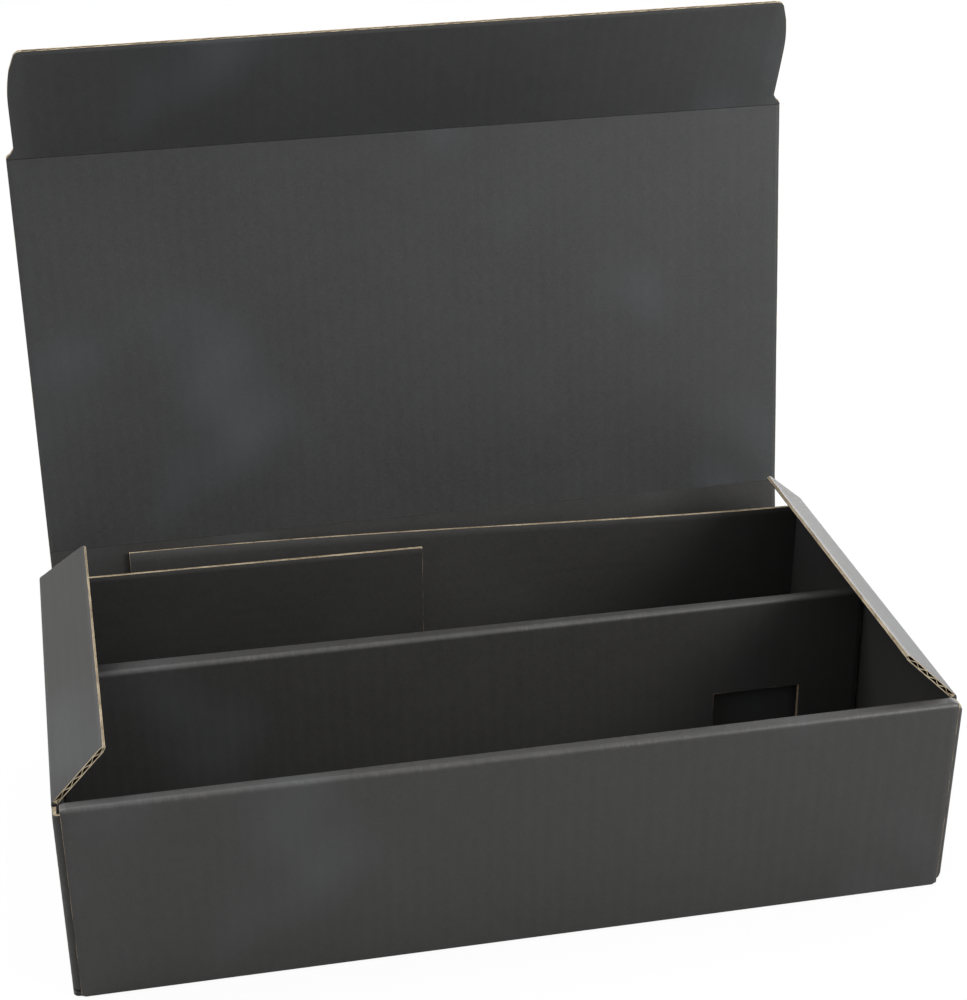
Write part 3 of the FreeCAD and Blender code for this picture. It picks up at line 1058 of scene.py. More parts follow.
class PaperEffects:
    """The effects that the box's papers share, each a node group that is built once.

    Attributes:
        WEFT, WARP: Fibres of the facing, which cross each other like linen.
        MOTTLE, CLOUD: Fine and broad unevenness of the ink.
        VEIL: Where the faint haze lies.
        SCUFF, HIGHLIGHT_SPECK, PATCH: Fine rubbing of a fold, its painted highlight specks and its
            broad gaps.
        RAGGED, BITTEN: Fine and broad outline of the chipped print.
        FIBRE, FLECK, WANDER: Fibres of the brown paper, its dark flecks and its broad tones.
        HAZE_COLOUR: Linear colour of the haze.
        TONE: Shares of linen, mottle and cloud in the ink's tone.
        WAVE_TONE: Share of the core's wave in it.
        DULLNESS: Least roughness of the print, and what linen and cloud add to it.
        RELIEF: Shares of the wave and the linen in the facing's relief.
        CREST_HIGHLIGHT: How much more painted highlight the flutes' crests get on a fold.
        RUBBING_AND_HIGHLIGHT: Shares of the scuffing and of the painted highlight specks in it.
        BITES: Shares of the fine and the broad outline in a chip's reach.
        CHIPPED: Values of that reach between which the print is gone.
        BROWN: Shares of fibres and flecks in the brown paper's tone.
        BROAD: Share of the broad tones in it.
        CELL_SHADE: How fast the painted shade darkens an open cell of the core away from the cut.
    """

    WEFT = Grain((1300.0, 330.0, 0.0), rough=0.6)
    WARP = Grain((300.0, 1500.0, 0.0), rough=0.6)
    MOTTLE = Grain((150.0, 120.0, 0.0), rough=0.55)
    CLOUD = Grain((17.0, 13.0, 0.0), rough=0.6)
    VEIL = Grain((9.0, 7.0, 0.0), 2.0, 0.45, span=(0.55, 0.8))
    SCUFF = Grain((1100.0, 500.0, 300.0), span=(0.3, 0.75))
    HIGHLIGHT_SPECK = Grain((420.0, 300.0, 0.0), span=(0.62, 0.7))
    PATCH = Grain((30.0, 30.0, 0.0), span=(0.3, 0.75))
    RAGGED = Grain((900.0, 900.0, 900.0))
    BITTEN = Grain((90.0, 90.0, 0.0), 2.0)
    FIBRE = Grain((1400.0, 1400.0, 6000.0), rough=0.6)
    FLECK = Grain((420.0, 420.0, 900.0), 2.0, span=(0.45, 0.7))
    WANDER = Grain((70.0, 70.0, 0.0), span=(0.3, 0.7))
    HAZE_COLOUR = (0.105, 0.118, 0.13, 1)
    TONE = (1.1, 0.26, 0.24)
    WAVE_TONE = 0.03
    DULLNESS = (0.32, 0.16, 0.1)
    RELIEF = (0.3, 0.7)
    CREST_HIGHLIGHT = 0.2
    RUBBING_AND_HIGHLIGHT = (0.5, 0.4)
    BITES = (0.5, 0.9)
    CHIPPED = (0.78, 1.05)
    BROWN = (0.3, 0.3)
    BROAD = 0.45
    CELL_SHADE = 7.0

    def __init__(self) -> None:
        """Builds the groups."""
        self.facing = self.make_facing()
        self.rubbed_and_highlight = self.make_rubbed_and_highlight()
        self.chipped = self.make_chipped()
        self.fibres = self.make_fibres()

    def make_facing(self) -> bpy.types.NodeTree:
        """Printed facing: waves of the core, crossed fibres, cloudy ink and faint haze.

        Returns:
            The group's tree.
        """
        group = EffectGroup(
            "printed_facing",
            {"Blank": None, "Ink": (0.05, 0.05, 0.05, 1), "Haze Colour": self.HAZE_COLOUR,
             "Pitch": 0.0065, "Washboard": 0.5, "Haze": 0.3},
            {"Color": "NodeSocketColor", "Roughness": "NodeSocketFloat",
             "Height": "NodeSocketFloat"},
        )
        desk, blank = group.desk, group.given["Blank"]
        wave = desk.math("MULTIPLY", self.wave(group), group.given["Washboard"])
        weft, warp, mottle, cloud = (
            desk.noise(blank, grain)
            for grain in (self.WEFT, self.WARP, self.MOTTLE, self.CLOUD)
        )
        linen = desk.weigh((weft, 0.5), (warp, 0.5))
        shares = zip((linen, mottle, cloud, wave), (*self.TONE, self.WAVE_TONE))
        tone = desk.math("ADD", 1.0 - sum(self.TONE) / 2, desk.weigh(*shares))
        ink = desk.mix(1.0, group.given["Ink"], desk.grey(tone), "MULTIPLY")
        haze = desk.math("MULTIPLY", desk.mask(blank, self.VEIL), group.given["Haze"])
        least, *added = self.DULLNESS
        rough = desk.math("ADD", least, desk.weigh(*zip((linen, cloud), added)))
        group.put_out("Color", desk.mix(haze, ink, group.given["Haze Colour"]))
        group.put_out("Roughness", rough)
        group.put_out("Height", desk.weigh(*zip((wave, linen), self.RELIEF)))
        return group.tree

    @staticmethod
    def wave(group: EffectGroup) -> bpy.types.NodeSocket:
        """Adds the core's wave at a place on the blank.

        Args:
            group: A group with the inputs Blank and Pitch.

        Returns:
            The output with the wave, from -1 to 1.
        """
        desk, given = group.desk, group.given
        across = desk.add("ShaderNodeSeparateXYZ", {0: given["Blank"]}).outputs[0]
        turn = desk.math("MULTIPLY", desk.math("DIVIDE", across, given["Pitch"]), math.tau)
        return desk.math("COSINE", turn)

    def make_rubbed_and_highlight(self) -> bpy.types.NodeTree:
        """Scuffed folds with painted highlight: a fine scuff that wanders along a fold, specks of
        painted highlight, and more painted highlight on the flutes' crests.

        Returns:
            The group's tree.
        """
        group = EffectGroup(
            "rubbed_fold_and_highlight",
            {"Blank": None, "Wear_And_Highlight": 0.0, "Pitch": 0.0065, "Amount": 0.5},
            {"Mask": "NodeSocketFloat"},
        )
        desk, given = group.desk, group.given
        # Painted highlight: the flutes' crests on a fold are made lighter.
        swell = desk.math("MULTIPLY", self.wave(group), self.CREST_HIGHLIGHT)
        crest_highlight = desk.math("ADD", 1 - self.CREST_HIGHLIGHT, swell)
        scuff, highlight_speck, patch = (
            desk.mask(given["Blank"], grain) for grain in (self.SCUFF, self.HIGHLIGHT_SPECK, self.PATCH)
        )
        # Scuffing of the print, together with specks of painted highlight.
        rub_and_highlight = desk.weigh(*zip((scuff, highlight_speck), self.RUBBING_AND_HIGHLIGHT))
        for share in (crest_highlight, patch, given["Wear_And_Highlight"]):
            rub_and_highlight = desk.math("MULTIPLY", rub_and_highlight, share)
        group.put_out("Mask", desk.math("MULTIPLY", rub_and_highlight, given["Amount"], clamp=True))
        return group.tree

    def make_chipped(self) -> bpy.types.NodeTree:
        """Chipped print: a ragged hairline of bare paper along a cut.

        Returns:
            The group's tree.
        """
        group = EffectGroup(
            "chipped_print", {"Blank": None, "Cut": 0.0}, {"Mask": "NodeSocketFloat"}
        )
        desk, given = group.desk, group.given
        ragged, bitten = (desk.noise(given["Blank"], grain) for grain in (self.RAGGED, self.BITTEN))
        bite = desk.weigh(*zip((ragged, bitten), self.BITES))
        reach = desk.math("SUBTRACT", bite, sum(self.BITES) / 2)
        near = desk.math("ADD", given["Cut"], reach)
        group.put_out("Mask", desk.remap(near, *self.CHIPPED))
        return group.tree

    def make_fibres(self) -> bpy.types.NodeTree:
        """Bare brown paper: short fibres, dark flecks, and painted shade that deepens away from the
        cut, into the open cells.

        Returns:
            The group's tree.
        """
        group = EffectGroup(
            "brown_fibres",
            {"Blank": None, "Cut": 1.0, "Paper": (0.5, 0.36, 0.2, 1),
             "Dark": (0.2, 0.13, 0.07, 1)},
            {"Color": "NodeSocketColor", "Height": "NodeSocketFloat"},
        )
        desk, given = group.desk, group.given
        fibre = desk.noise(given["Blank"], self.FIBRE)
        fleck, wander = (desk.mask(given["Blank"], grain) for grain in (self.FLECK, self.WANDER))
        tones = desk.weigh(*zip((fibre, fleck), self.BROWN))
        broad = desk.math("MULTIPLY", wander, self.BROAD)
        factor = desk.math("ADD", tones, broad, clamp=True)
        paper = desk.mix(factor, given["Paper"], given["Dark"])
        # Painted shade: the paper darkens deep inside the open cells, away from the cut.
        cell_shade = desk.math("POWER", given["Cut"], self.CELL_SHADE)
        group.put_out("Color", desk.mix(1.0, paper, desk.grey(cell_shade), "MULTIPLY"))
        group.put_out("Height", fibre)
        return group.tree


@dataclass(frozen=True)
class FacingFinish:
    """Black printed facing of the board.

    Attributes:
        name: Name of the material.
        ink: Linear colour of the print.
        bare: Linear colour of the paper where the print is chipped.
        rubbed_and_highlight: Linear colour of the scuffed folds, also used as their painted
            highlight.
        haze: Share of faint lighter clouds.
        washboard: Strength of the waves that show through.
        bump: Strength of the relief.
        relief: Depth of the relief at full strength.
        worn_and_highlit: Strength of the scuffed folds and of their painted highlight.
        gloss: Strength of the reflection.
    """

    name: str
    ink: tuple[float, float, float]
    bare: tuple[float, float, float] = (0.36, 0.28, 0.18)
    rubbed_and_highlight: tuple[float, float, float] = (0.17, 0.165, 0.155)
    haze: float = 0.3
    washboard: float = 0.5
    bump: float = 0.25
    relief: float = 0.0002
    worn_and_highlit: float = 0.5
    gloss: float = 0.5

    def material(self, effects: PaperEffects, board: Board) -> bpy.types.Material:
        """Builds the material.

        Args:
            effects: The shared node groups.
            board: The board, for its pitch.

        Returns:
            The material.
        """
        desk, shader = blank_material(self.name)
        blank = desk.attribute("blank", "Vector")
        facing, rubbed_and_highlight, chipped = (
            desk.add("ShaderNodeGroup", node_tree=effect)
            for effect in (effects.facing, effects.rubbed_and_highlight, effects.chipped)
        )
        desk.feed(facing, {"Blank": blank, "Ink": (*self.ink, 1), "Pitch": board.pitch,
                           "Washboard": self.washboard, "Haze": self.haze})
        desk.feed(rubbed_and_highlight, {"Blank": blank, "Wear_And_Highlight": desk.attribute("wear_and_highlight"),
                           "Pitch": board.pitch, "Amount": self.worn_and_highlit})
        desk.feed(chipped, {"Blank": blank, "Cut": desk.attribute("cut")})
        # Scuffed print on the folds, mixed with the painted highlight of their crests.
        worn_and_highlit = desk.mix(rubbed_and_highlight.outputs["Mask"], facing.outputs["Color"], (*self.rubbed_and_highlight, 1))
        colour = desk.mix(chipped.outputs["Mask"], worn_and_highlit, (*self.bare, 1))
        bump = desk.add("ShaderNodeBump", {"Strength": self.bump, "Distance": self.relief,
                                           "Height": facing.outputs["Height"]})
        desk.feed(shader, {"Base Color": colour, "Roughness": facing.outputs["Roughness"],
                           "Normal": bump.outputs[0], "Specular IOR Level": self.gloss})
        return desk.owner


@dataclass(frozen=True)
class KraftFinish:
    """Bare brown paper of the cut edges and the core.

    Attributes:
        name: Name of the material.
        paper: Linear colour of the paper.
        dark: Linear colour of its flecks.
        bump: Strength of the fibres' relief.
        relief: Depth of the relief at full strength.
        rough: Roughness of the surface.
        gloss: Strength of the reflection.
    """

    name: str = "brown_core_paper"
    paper: tuple[float, float, float] = (0.62, 0.525, 0.375)
    dark: tuple[float, float, float] = (0.17, 0.12, 0.07)
    bump: float = 0.4
    relief: float = 0.0001
    rough: float = 0.85
    gloss: float = 0.2

    def material(self, effects: PaperEffects) -> bpy.types.Material:
        """Builds the material.

        Args:
            effects: The shared node groups.

        Returns:
            The material.
        """
        desk, shader = blank_material(self.name)
        fibres = desk.add("ShaderNodeGroup", {
            "Blank": desk.attribute("blank", "Vector"), "Cut": desk.attribute("cut"),
            "Paper": (*self.paper, 1), "Dark": (*self.dark, 1),
        }, node_tree=effects.fibres)
        bump = desk.add("ShaderNodeBump", {"Strength": self.bump, "Distance": self.relief,
                                           "Height": fibres.outputs["Height"]})
        desk.feed(shader, {"Base Color": fibres.outputs["Color"], "Normal": bump.outputs[0],
                           "Roughness": self.rough, "Specular IOR Level": self.gloss})
        return desk.owner


def blank_material(name: str) -> tuple[NodeDesk, bpy.types.Node]:
    """Makes a material with only its shader and output.

    Args:
        name: Name of the material.

    Returns:
        A desk on the material's tree, which keeps the material as its owner, and the shader.
    """
    material = bpy.data.materials.new(name)
    material.use_nodes = True
    material.node_tree.nodes.clear()
    desk = NodeDesk(material.node_tree, material)
    shader = desk.add("ShaderNodeBsdfPrincipled")
    desk.add("ShaderNodeOutputMaterial", {"Surface": shader.outputs[0]})
    return desk, shader


@dataclass(frozen=True)
class Papers:
    """The finished materials of the box.

    Attributes:
        facings: Material of the printed facings, for each slot.
        kraft: Material of the cut edges and the core.
    """

    facings: dict[Slot, bpy.types.Material]
    kraft: bpy.types.Material

    @classmethod
    def make(cls, board: Board) -> "Papers":
        """Builds all of the box's materials.

        Args:
            board: The board that the box is made of.

        Returns:
            The materials.
        """
        effects = PaperEffects()
        tray = FacingFinish("black_board", (0.0335, 0.0325, 0.0315))
        lid = FacingFinish("black_lid_board", (0.0375, 0.0380, 0.0388), haze=0.45, washboard=0.8)
        facings = {Slot.BOARD: tray.material(effects, board),
                   Slot.LID_BOARD: lid.material(effects, board)}
        return cls(facings, KraftFinish().material(effects))


@dataclass
class BoxPart:
    """One part of the box, with what each of them works with.

    Attributes:
        sizes: The box's sizes.
        board: The board that it is made of.
        papers: The finished materials.
    """

    sizes: BoxSizes
    board: Board
    papers: Papers

    def build(self) -> list[bpy.types.Object]:
        """Builds and dresses the part's pieces."""
        raise NotImplementedError

    def dress(self, piece: bpy.types.Object, slot: Slot = Slot.BOARD) -> bpy.types.Object:
        """Gives a piece its facing and its brown edges.

        Args:
            piece: The piece.
            slot: The record's material slot.

        Returns:
            The piece.
        """
        for material in (self.papers.facings[slot], self.papers.kraft):
            piece.data.materials.append(material)
        return piece

    def fine_marks(self, low: float, high: float, per_wave: int = 4) -> list[float]:
        """Places between two values, so many to each wave of the core."""
        return steps_between(low, high, self.board.pitch / per_wave)


@dataclass
class Trough(BoxPart):
    """Floor and side walls, one sheet that turns up twice.

    Attributes:
        column_step: Distance between the columns along the box's depth.
        notch: Width of the step at the front end of a dust flap's crease.
    """

    column_step: float = 0.02
    notch: float = 0.001

    def build(self) -> list[bpy.types.Object]:
        """Builds the trough.

        Returns:
            Its one piece, which stands for the solid tray.
        """
        sizes = self.sizes
        height = sizes.side_crease - sizes.slit - sizes.board
        wall_front = sizes.tab_front + sizes.board
        path = FoldedPath(
            Vector((-sizes.inside, 0, sizes.side_crease - sizes.slit)), -UP, -ALONG_X, ALONG_Y,
            (wall_front, sizes.left_end - sizes.board), sizes.board,
        )
        path.straight(height, self.fine_marks(0, height))
        for limits, length in (
            ((sizes.tab_front, sizes.wall_end), 2 * sizes.inside),
            ((wall_front, sizes.wall_end - sizes.board), height),
        ):
            path.limits = limits
            path.fold(90, Facing.INNER)
            path.straight(length, self.fine_marks(0, length))
        ends = (sizes.flap_front, sizes.flap_front - self.notch)
        marks = steps_between(sizes.front + self.column_step, sizes.depth / 2, self.column_step)
        sheet = BoardSheet(
            self.board, path.stations, sorted([*marks, *ends]), Flutes.WITH_SPREAD,
            Borders(Border.CUT_ALONG, Border.CUT_ALONG, Border.CREASE, Border.CREASE,
                    joined=(sum(ends) / 2, sizes.depth)),
        )
        piece = self.dress(sheet.build("floor_and_side_walls"))
        return [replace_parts(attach(piece, "tray"), "tray")]


@dataclass
class FrontAndDivider(BoxPart):
    """Front wall rolled over on itself, then the inner floor and the divider, all one sheet.

    Attributes:
        front_marks: Heights up the outer panel at which it has lines of points.
    """

    front_marks: tuple[float, ...] = (0.03, 0.06)

    def build(self) -> list[bpy.types.Object]:
        """Builds the sheet.

        Returns:
            Its one piece, which stands for the solid divider.
        """
        sizes = self.sizes
        board = sizes.board
        half = sizes.liner_half
        path = FoldedPath(
            Vector((0, sizes.tab_front, board)), -ALONG_Y, -UP, ALONG_X, (-half, half), board
        )
        path.straight(sizes.layer_gap)
        path.fold(90, Facing.INNER)
        path.straight(sizes.front_height - 2 * board, self.front_marks)
        path.fold(90, Facing.INNER, ROLL_STEPS)
        path.straight(board + 2 * sizes.layer_gap)
        path.fold(90, Facing.INNER, ROLL_STEPS)
        path.straight(sizes.front_height - 3 * board)
        path.fold(90, Facing.OUTER, HIDDEN_STEPS)
        path.straight(sizes.divider_front - (sizes.roll_back - sizes.front))
        hole = self.raise_divider(path)
        path.straight(sizes.divider_height - 2 * board)
        near = END_STOPS[0]
        rims = (hole.spread[0] - near, *hole.spread, hole.spread[1] + near)
        sheet = BoardSheet(
            self.board, path.stations, sorted([*self.without(hole.spread), *rims]),
            Flutes.WITH_PATH, Borders(Border.CREASE, Border.CUT_ACROSS), hole,
        )
        piece = self.dress(sheet.build("front_wall_and_divider"))
        return [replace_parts(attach(piece, "tray"), "divider")]

    def without(self, window: tuple[float, float]) -> list[float]:
        """Columns along the sheet, but none close to the window's two sides.

        Args:
            window: The window's low and high spread.

        Returns:
            The columns' places.
        """
        marks = self.fine_marks(-self.sizes.liner_half, self.sizes.liner_half)
        least = END_STOPS[-1] / 2
        return [mark for mark in marks if min(abs(mark - side) for side in window) > least]

    def raise_divider(self, path: FoldedPath) -> Hole:
        """Folds the path up into the divider's front layer and over its top.

        Args:
            path: The sheet's path, which has reached the divider's foot.

        Returns:
            The window's hole.
        """
        sizes = self.sizes
        rise = sizes.divider_height - 2 * sizes.board
        lean = math.degrees(math.atan2(sizes.divider_run, rise))
        path.fold(90 - lean, Facing.OUTER, HIDDEN_STEPS)
        foot, upright = path.stations[-1], path.run.z
        sill, top, crease = (
            (height - foot.point.z) / upright for height in (
                sizes.window_sill, sizes.window_sill + sizes.window_height,
                sizes.divider_height - sizes.board,
            )
        )
        near = END_STOPS[0]
        path.straight(crease, (sill - near, sill, top, top + near))
        path.fold(90 - lean, Facing.INNER, ROLL_STEPS)
        self.cover_divider(path)
        return Hole(
            (sizes.window_left, sizes.window_left + sizes.window_width),
            (foot.distance + sill, foot.distance + top),
        )

    def cover_divider(self, path: FoldedPath) -> None:
        """Folds the divider's top, which narrows from the left end to the right.

        Args:
            path: The sheet's path, which has reached the top.
        """
        sizes = self.sizes
        start = sizes.front + sizes.divider_front + sizes.divider_run
        middle = start + (sizes.divider_left + sizes.divider_right) / 2 - sizes.board
        path.across = ALONG_X + ALONG_Y * (
            (sizes.divider_right - sizes.divider_left) / (2 * sizes.liner_half)
        )
        path.straight(middle - path.point.y)
        path.fold(90, Facing.INNER, ROLL_STEPS)


@dataclass
class CornerTabs(BoxPart):
    """Tabs that turn in from the ends of the side walls."""

    def build(self) -> list[bpy.types.Object]:
        """Builds both front tabs and the left rear one.

        Returns:
            The pieces.
        """
        sizes = self.sizes
        front = sizes.tab_front + sizes.board
        low = sizes.board + sizes.layer_gap
        pieces = [
            self.tab(
                f"front_tab_{side.word}", Vector((side * sizes.inside, front, 0)), -ALONG_Y,
                ALONG_X * side, 90, (low, sizes.front_tab_height - sizes.layer_gap),
                sizes.front_tab - sizes.board,
            )
            for side in Side
        ]
        pieces.append(self.tab(
            "rear_tab_left", Vector((-sizes.inside, sizes.left_end - sizes.board, 0)), ALONG_Y,
            -ALONG_X, 90 + sizes.rear_tab_skew,
            (sizes.board + sizes.fit_gap, sizes.rear_tab_left_height),
            sizes.rear_tab_left - sizes.board,
        ))
        return pieces

    def tab(
        self, name: str, corner: Vector, run: Vector, outwards: Vector, turn: float,
        limits: tuple[float, float], length: float,
    ) -> bpy.types.Object:
        """Builds one tab with the rounded corner that joins it to its wall.

        Args:
            name: Name of the piece.
            corner: The fold's inner line, at height 0.
            run: Direction along the wall, towards the fold.
            outwards: Direction out of the wall.
            turn: Degrees of the fold.
            limits: Height at which the tab begins and ends.
            length: Length beyond the fold.

        Returns:
            The piece.
        """
        path = FoldedPath(corner, run, outwards, UP, limits, self.sizes.board)
        path.fold(turn, Facing.INNER).straight(length, (length / 3, 2 * length / 3))
        sheet = BoardSheet(
            self.board, path.stations, self.fine_marks(*limits), Flutes.WITH_PATH,
            Borders(Border.CREASE, Border.CUT_ACROSS),
        )
        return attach(self.dress(sheet.build(name)), "tray")


@dataclass
class TwistedTab(BoxPart):
    """Right rear tab, which follows the back wall: upright at its fold, leaning at its free end.

    Attributes:
        bands: Number of lengths into which it is divided, so that it can bend.
    """

    bands: int = 24

    def build(self) -> list[bpy.types.Object]:
        """Builds the tab upright, then twists it.

        Returns:
            Its one piece, which bends between the tray and the back wall.
        """
        sizes = self.sizes
        root_y = sizes.wall_end - sizes.board
        low = sizes.board + sizes.fit_gap
        length = sizes.rear_tab_right
        path = FoldedPath(
            Vector((sizes.inside, root_y, 0)), ALONG_Y, ALONG_X, UP,
            (low, sizes.rear_tab_root_height), sizes.board,
        )
        path.fold(90, Facing.INNER)
        path.straight(length, [length * band / self.bands for band in range(1, self.bands)])
        growth = sizes.rear_tab_end_height - sizes.rear_tab_root_height
        stations = [
            replace(line, high=line.high + growth * max(0.0, sizes.inside - line.point.x) / length)
            for line in path.stations
        ]
        sheet = BoardSheet(
            self.board, stations, self.fine_marks(low, sizes.rear_tab_root_height),
            Flutes.WITH_PATH, Borders(Border.CREASE, Border.CUT_ACROSS),
        )
        piece = self.dress(sheet.build("rear_tab_right_bent"))
        self.twist(piece.data)
        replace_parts(piece, "rear_tab_right")
        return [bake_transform(piece)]

    def twist(self, mesh: bpy.types.Mesh) -> None:
        """Leans every point back about the floor's rear crease, from none at the fold to the back
        wall's lean at the free end.

        Args:
            mesh: The tab's mesh, built upright.
        """
        sizes = self.sizes
        for vertex in mesh.vertices:
            share = min(1.0, max(0.0, (sizes.inside - vertex.co.x) / sizes.rear_tab_right))
            turn = math.radians(sizes.back_lean) * share * share * (3 - 2 * share)
            out = vertex.co.y - sizes.wall_end
            up = vertex.co.z - sizes.board
            vertex.co.y = sizes.wall_end + up * math.sin(turn) + out * math.cos(turn)
            vertex.co.z = sizes.board + up * math.cos(turn) - out * math.sin(turn)


@dataclass
class BackAndLid(BoxPart):
    """Back wall, lid panel and tuck flap.

    Attributes:
        bands: Number of lengths into which a flat panel is divided.
        crease_wear_and_highlight: How far a panel is scuffed and painted with a highlight at its
            crease.
        wear_and_highlight_fade: How fast that ends on a flat panel.
        tuck_fade: How fast it ends on the tuck flap.
        tuck_fresh: Extra lines' reach within which the tuck flap's board is pressed.
        tuck_steps: Facets of each of the tuck flap's rounded corners.
        tuck_nick: Depth and width of the nick beside the tuck flap's crease.
        tuck_shares: Shares of the notch at which its outline has points.
        tuck_curve: How sharply the notch turns out to the flap's side.
    """

    bands: int = 6
    crease_wear_and_highlight: float = 0.8
    wear_and_highlight_fade: float = 3.0
    tuck_fade: float = 6.0
    tuck_fresh: float = 3.0
    tuck_steps: int = 8
    tuck_nick: tuple[float, float] = (0.0012, 0.0007)
    tuck_shares: tuple[float, ...] = (0.45, 0.7, 1.0)
    tuck_curve: float = 0.8

    def build(self) -> list[bpy.types.Object]:
        """Builds the three panels.

        Returns:
            The pieces.
        """
        return [self.back_wall(), self.lid(), self.tuck_flap()]

    def flat_panel(
        self, name: str, axis: Vector, way: tuple[Vector, Vector], length: float,
        shears: tuple[float, float], slot: Slot,
    ) -> bpy.types.Object:
        """Builds a panel of the lid's width between two creases.

        Args:
            name: Name of the piece and of the solid and body that it stands for.
            axis: The first crease.
            way: Direction along the panel and outwards.
            length: Length between the creases.
            shears: How far the outer facing stops short at the first and the second crease.
            slot: The record's material slot.

        Returns:
            The piece.
        """
        sizes = self.sizes
        half = sizes.lid_width / 2
        run, outwards = way
        end = length - 2 * sizes.slit
        fade = 2 * END_STOPS[-1]
        stops = {0.0, end, *(end * band / self.bands for band in range(1, self.bands))}
        stops |= {place for stop in END_STOPS for place in (stop, end - stop)}
        stations = []
        for stop in sorted(stops):
            starting, ending = (max(0.0, 1 - gap / fade) for gap in (stop, end - stop))
            lead = shears[0] * starting - shears[1] * ending
            near = min(stop, end - stop) / END_STOPS[-1]
            # Scuffing and painted highlight fade away from the creases.
            stations.append(Station(
                axis + run * (sizes.slit + stop), outwards * sizes.board + run * lead, run, ALONG_X,
                sizes.slit + stop, -half, half,
                max(0.0, self.crease_wear_and_highlight - self.wear_and_highlight_fade * near), min(1.0, near),
            ))
        sheet = BoardSheet(
            self.board, stations, self.fine_marks(-half, half), Flutes.WITH_PATH, Borders()
        )
        piece = self.dress(sheet.build(name + "_panel"), slot)
        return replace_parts(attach(piece, name), name)

    def back_wall(self) -> bpy.types.Object:
        """Builds the back wall.

        Returns:
            The piece.
        """
        sizes = self.sizes
        return self.flat_panel(
            "back_wall", sizes.floor_axis, sizes.back_way(), sizes.back_height,
            (0.0, sizes.lid_bevel - sizes.slit), Slot.BOARD,
        )

    def lid(self) -> bpy.types.Object:
        """Builds the lid panel.

        Returns:
            The piece.
        """
        sizes = self.sizes
        return self.flat_panel(
            "lid", sizes.lid_axis, sizes.lid_way(), sizes.lid_length,
            (sizes.lid_bevel - sizes.slit, 0.0), Slot.LID_BOARD,
        )

    def tuck_outline(self) -> list[tuple[float, float]]:
        """Outline of the tuck flap, from its shoulders to its tip.

        Returns:
            Pairs of a distance from the crease and the flap's half width there.
        """
        sizes, steps = self.sizes, self.tuck_steps
        side, tip, corner = sizes.tuck_side / 2, sizes.tuck_tip / 2, sizes.tuck_corner
        shoulder = sizes.lid_width / 2
        swell, bend = sizes.tuck_taper / 2, sizes.tuck_length - sizes.tuck_taper
        slope = (side - tip) / sizes.tuck_taper
        deep, wide = self.tuck_nick
        outline = [(sizes.slit, shoulder), (sizes.slit + deep, shoulder - wide)]
        outline += [
            (sizes.tuck_notch * share, shoulder + (side - shoulder) * share ** self.tuck_curve)
            for share in self.tuck_shares
        ]
        outline.append((sizes.tuck_length / 3, side))
        for step in range(steps + 1):
            share = step / steps
            outline.append((
                bend + swell * (2 * share - 1), side - slope * swell * share * share,
            ))
        for step in range(1, steps):
            turn = math.radians(90 * step / steps)
            outline.append((
                sizes.tuck_length - corner + corner * math.sin(turn),
                tip - corner + corner * math.cos(turn),
            ))
        outline.append((sizes.tuck_length, tip - corner))
        return outline

    def tuck_flap(self) -> bpy.types.Object:
        """Builds the tuck flap.

        Returns:
            The piece.
        """
        sizes = self.sizes
        run, outwards = sizes.lid_way(sizes.tuck_bend)
        stations = []
        for distance, half in self.tuck_outline():
            fresh = min(1.0, distance / (self.tuck_fresh * END_STOPS[-1]))
            # Scuffing and painted highlight fade away from the crease.
            stations.append(Station(
                sizes.tuck_axis + run * distance, outwards * sizes.board, run, ALONG_X,
                distance, -half, half,
                max(0.0, self.crease_wear_and_highlight - self.tuck_fade * fresh), fresh,
            ))
        half = sizes.tuck_tip / 2
        sheet = BoardSheet(
            self.board, stations, self.fine_marks(-half, half, 8), Flutes.WITH_PATH,
            Borders(Border.CREASE, Border.CUT_ACROSS, open_share=0.62),
        )
        piece = self.dress(sheet.build("tuck_flap_panel"), Slot.LID_BOARD)
        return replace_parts(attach(piece, "tuck_flap"), "tuck_flap")


@dataclass
class DustFlap(BoxPart):
    """Flap on a side wall's top crease, with its flutes open at both slanted ends.

    Attributes:
        side: Its side of the box.
        first_stop: Distance from the crease at which its lines of points begin.
        crease_wear_and_highlight: How far it is scuffed and painted with a highlight at its crease.
        open_share: Share of the thickness that its slanted ends keep.
        column_step: Distance between its columns.
    """

    side: Side
    first_stop: float = 0.001
    crease_wear_and_highlight: float = 0.8
    open_share: float = 0.97
    column_step: float = 0.02

    def build(self) -> list[bpy.types.Object]:
        """Builds the flap.

        Returns:
            Its one piece, which stands for the solid flap.
        """
        sizes, name = self.sizes, f"dust_flap_{self.side.word}"
        run, outwards = sizes.flap_way(self.side)
        axis, width = sizes.flap_axis(self.side), sizes.flap_width
        front, rear = sizes.flap_front, sizes.flap_rear(self.side)
        distances = [
            sizes.slit, *self.fine_marks(self.first_stop, width - END_STOPS[-1], 8),
            *(width - stop for stop in reversed(END_STOPS)), width,
        ]
        stations = []
        for distance in distances:
            share = (distance - sizes.slit) / (width - sizes.slit)
            # Scuffing and painted highlight only beside the crease.
            stations.append(Station(
                axis + run * distance, outwards * sizes.board, run, ALONG_Y, distance,
                front + sizes.flap_front_bevel * share, rear - sizes.flap_rear_bevel * share,
                self.crease_wear_and_highlight if distance < self.first_stop else 0.0,
                min(1.0, distance / END_STOPS[-1]),
            ))
        sheet = BoardSheet(
            self.board, stations, steps_between(front, rear, self.column_step),
            Flutes.WITH_SPREAD, Borders(
                Border.CREASE, Border.CUT_ALONG, Border.CUT_ACROSS, Border.CUT_ACROSS,
                self.open_share,
            ),
        )
        piece = self.dress(sheet.build(name + "_panel"))
        return [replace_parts(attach(piece, name), name)]


